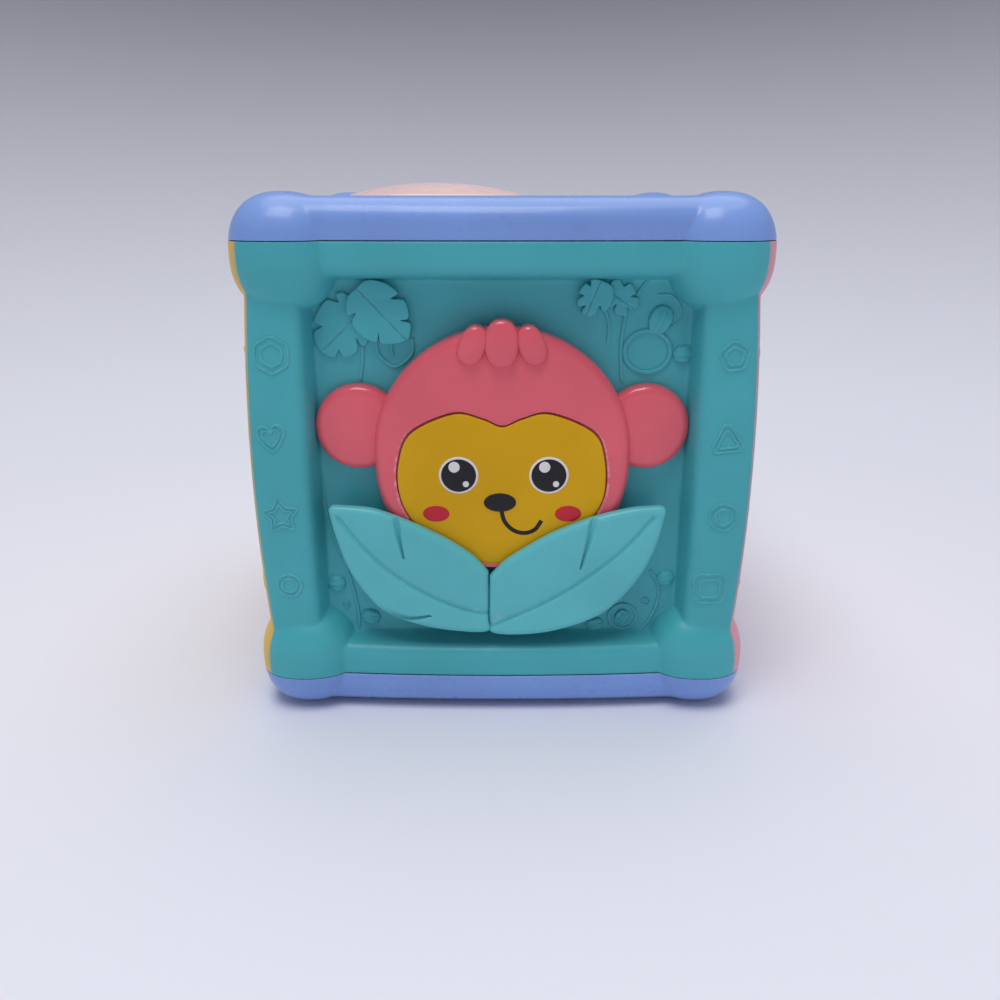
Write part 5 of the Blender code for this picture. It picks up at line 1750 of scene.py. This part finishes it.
@dataclass
class TopToys:
    """The drum and the three keys on the top.

    Attributes:
        drum: The middle of the drum.
        key_u: The middle of the keys.
        key_top: The level of a key's rim.
    """

    drum: Point = (-0.0240, 0.0)
    key_u: float = 0.0380
    key_top: float = 0.1668

    def build(self) -> None:
        """Makes the drum's skin and hoop, and the keys."""
        cap = cap_profile(0.0330, 0.1619, 0.1690, 0.0030, 0.0038)
        skin = turned(cap, round_outline(0.0330), self.drum, 128)
        finish_piece(skin, "drum_skin", "blush_abs", "drum", Face.TOP, ["drum_cap"])
        hoops = [circle_line(self.drum, r, 128) for r in (0.0353, 0.0333)]
        hoop = plate(hoops, 0.1592, 0.1666, 0.0007)
        finish_piece(hoop, "drum_hoop", "orange_abs", "cube", Face.TOP, ["drum_bezel"])
        lugs = [circle_line(spot, 0.0020, 20) for spot in ring_places(self.drum, 0.0363, 8, 22.5)]
        lugs = plate(lugs, 0.1590, 0.1630, 0.0006)
        finish_piece(lugs, "drum_lugs", "orange_abs", "cube", Face.TOP)
        keys = (("first", -0.0370, "orange_abs", "circle"), ("second", 0.0, "cream_abs", "3"))
        for at, (label, v, finish, kind) in enumerate((*keys, ("third", 0.0370, "pink_abs", "4"))):
            roof = self.key_top - 0.0018
            rows = [(0.0, roof), (0.5, roof), (0.84, roof), (0.86, roof - 0.0003), (0.86, 0.1621)]
            rows += cap_profile(0.0170, 0.1621, self.key_top, 0.0016, 0.0004)[2:]
            cap = turned(rows, super_outline(0.0170, 0.0150, 6.0), (self.key_u, v), 128)
            body = f"{label}_key"
            finish_piece(cap, f"{body}_cap", finish, body, Face.TOP, [f"key_{at + 1}"])
            half = 0.0068 if kind == "circle" else 0.0085
            line = shape_line(kind, (self.key_u, v), half, math.pi / 4 if kind == "4" else 0.0)
            mark = plate([line], self.key_top - 0.0006, self.key_top + 0.0009, 0.0004)
            finish_piece(mark, f"{body}_shape", "blue_abs", body, Face.TOP)


@dataclass
class Underside:
    """The battery door, the screws and the switch under the cube.

    Attributes:
        copied: How the door and the knob start from their nodes.
        head: A screw head's radius.
        head_face: The level of a screw head's front.
        seat: The level under a screw head.
    """

    copied: Copied
    head: float = 0.0029
    head_face: float = -0.0078
    seat: float = -0.0098

    def build(self) -> None:
        """Makes the door, its ribs, the screws and the knob."""
        for node, name, finish, body in (
            ("battery_door", "battery_door_panel", "blue_abs", "cube"),
            ("switch_knob", "switch_knob_grip", "cream_abs", "power_switch"),
        ):
            self.copied.end(self.copied.start(node), node, name, finish, body)
        ribs = [capsule((u, -0.0120), (u, 0.0120), 0.0007) for u in np.arange(5) * 0.0026 - 0.0380]
        ribs = plate(ribs, -0.0104, -0.0092, 0.0003)
        finish_piece(ribs, "battery_door_ribs", "blue_abs", "cube", Face.BOTTOM)
        first = self.screw()
        for node, u, v in (
            ("case_screw_1", -0.0485, 0.0485),
            ("case_screw_2", -0.0485, -0.0485),
            ("case_screw_3", 0.0485, 0.0485),
            ("case_screw_4", 0.0485, -0.0485),
            ("battery_door_screw", 0.01549, 0.0),
        ):
            copy = bpy.data.objects.new(node, first.data.copy())
            bpy.context.collection.objects.link(copy)
            copy.data.transform(Matrix.Translation((u, v, 0)))
            finish_piece(copy, f"{node}_head", "screw_steel", "cube", Face.BOTTOM, [node])
        bpy.data.objects.remove(first)

    def screw(self) -> bpy.types.Object:
        """One pan-head screw with a cross recess, at the middle of the underside."""
        rows = [(0.0, -0.0216), (0.40, -0.0216), (0.52, -0.0200), (0.52, self.seat)]
        rows += cap_profile(self.head, self.seat, self.head_face - 0.0003, 0.0009, 0.0003)[2:]
        obj = turned(rows, round_outline(self.head), segments=40)
        for start, end in (((-0.0016, 0.0), (0.0016, 0.0)), ((0.0, -0.0016), (0.0, 0.0016))):
            slot = plate([capsule(start, end, 0.00035)], -0.0088, -0.0070, 0.00001)
            pocket(obj, slot, None)
        return obj


KEPT = {
    "inner_abs": [
        *(f"slide_clip_{at}" for at in (1, 2)),
        *(f"corner_post_{at}" for at in (1, 2, 3, 4)),
        *("head_carriage", "carriage_guide", "battery_box"),
    ],
    "screw_steel": [
        *("head_screw", "head_spring", "drum_spring"),
        *(f"key_spring_{at}" for at in (1, 2, 3)),
    ],
    "board_resin": ["circuit_board"],
    "cell_zinc": [f"battery_cell_{at}" for at in (1, 2, 3)],
    "black_print": ["speaker", "switch_body"],
    "lead_pvc": ["power_lead"],
}


def dress_kept(frame: dict) -> None:
    """Gives the pieces that come straight from the CAD their materials."""
    for finish, nodes in KEPT.items():
        for node in nodes:
            mesh = frame["nodes"][node]
            mesh.data.materials.clear()
            mesh.data.materials.append(material(finish))
            log.info("%s: dressed as %s", node, finish)


def backdrop_material() -> bpy.types.Material:
    """Pale paper, painted grey towards the top of the sweep as painted shade."""
    made = bpy.data.materials.new("backdrop_paper")
    made.use_nodes = True
    tree = made.node_tree
    shader = tree.nodes["Principled BSDF"]
    place = add_node(tree, "ShaderNodeTexCoord")
    split = add_node(tree, "ShaderNodeSeparateXYZ", inputs={"0": place.outputs["Object"]})
    # Painted shade: the paper darkens with height, from E9EAF3 at the floor to 85858E from 0.4 m
    # up.
    rise = add_node(tree, "ShaderNodeMapRange", inputs={"0": split.outputs[2], "2": 0.40})
    colour = add_node(
        tree,
        "ShaderNodeMix",
        {"data_type": "RGBA"},
        {"0": rise.outputs[0], "6": linear("E9EAF3"), "7": linear("85858E")},
    )
    tree.links.new(colour.outputs[2], shader.inputs["Base Color"])
    shader.inputs["Roughness"].default_value = 0.7
    shader.inputs["Specular IOR Level"].default_value = 0.1
    return made


def add_sweep() -> None:
    """Adds the floor, which curves up all round the cube into a wall."""
    path = [(0.0, 0.0), (0.35, 0.0), *arc_rows((0.35, 0.45), 0.45, -90, 0, 24), (0.80, 1.1)]
    curve = bpy.data.curves.new("floor", "CURVE")
    curve.dimensions = "3D"
    spline = curve.splines.new("POLY")
    spline.points.add(len(path) - 1)
    for point, (x, z) in zip(spline.points, path):
        point.co = (x, 0, z, 1)
    obj = bpy.data.objects.new("floor", curve)
    bpy.context.collection.objects.link(obj)
    make_active(obj)
    bpy.ops.object.convert(target="MESH")
    obj = bpy.context.view_layer.objects.active
    apply_modifier(obj, "SCREW", axis="Z", steps=128, render_steps=128, use_merge_vertices=True)
    make_active(obj)
    bpy.ops.object.mode_set(mode="EDIT")
    bpy.ops.mesh.select_all(action="SELECT")
    bpy.ops.mesh.normals_make_consistent(inside=True)
    bpy.ops.object.mode_set(mode="OBJECT")
    bpy.ops.object.shade_smooth()
    obj.data.materials.append(backdrop_material())


def add_lamp(name: str, place: Point, size: float, power: float) -> None:
    """Adds a square soft light that looks at the cube."""
    lamp = bpy.data.lights.new(name, "AREA")
    lamp.size = size
    lamp.energy = power
    obj = bpy.data.objects.new(name, lamp)
    obj.location = place
    aim = Vector((0, 0, 0.08)) - Vector(place)
    obj.rotation_euler = aim.to_track_quat("-Z", "Y").to_euler()
    bpy.context.collection.objects.link(obj)


# Each soft light's name, place, width in metres and power in watts.
LAMPS = (
    ("key", (-0.12, -0.45, 1.20), 0.55, 6.2),
    ("overhead", (0.05, 0.25, 1.30), 1.2, 8.4),
)
WORLD_STRENGTH = 0.21
CAMERA_PLACE = (-0.0007, -0.3603, 0.1683)
CAMERA_PITCH = 18.2
CAMERA_LENS = 33.34


def add_stage() -> None:
    """Adds the sweep, the lights, the background and the camera."""
    add_sweep()
    for lamp in LAMPS:
        add_lamp(*lamp)
    world = bpy.data.worlds.new("studio")
    bpy.context.scene.world = world
    world.use_nodes = True
    world.node_tree.nodes["Background"].inputs["Color"].default_value = linear("E9ECF4")
    world.node_tree.nodes["Background"].inputs["Strength"].default_value = WORLD_STRENGTH
    camera = bpy.data.objects.new("camera", bpy.data.cameras.new("camera"))
    camera.data.lens = CAMERA_LENS
    camera.data.sensor_width = 36
    camera.data.clip_start = 0.02
    camera.location = CAMERA_PLACE
    camera.rotation_euler = (math.radians(90 - CAMERA_PITCH), 0, 0)
    bpy.context.collection.objects.link(camera)
    bpy.context.scene.camera = camera
    bpy.context.scene.view_settings.view_transform = "Standard"


def main() -> None:
    """Builds the whole scene."""
    logging.basicConfig(level=logging.INFO, format="%(message)s")
    bpy.ops.object.select_all(action="SELECT")
    bpy.ops.object.delete()
    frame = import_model()
    Casing().build()
    Monkey().build()
    Pocket().build()
    JungleRelief().build()
    RailShapes().build()
    copied = Copied(frame)
    Gears(copied).build()
    Clock(copied).build()
    BackToys().build()
    TopToys().build()
    Underside(copied).build()
    dress_kept(frame)
    add_stage()
    bpy.context.view_layer.update()


if __name__ == "__main__":
    main()
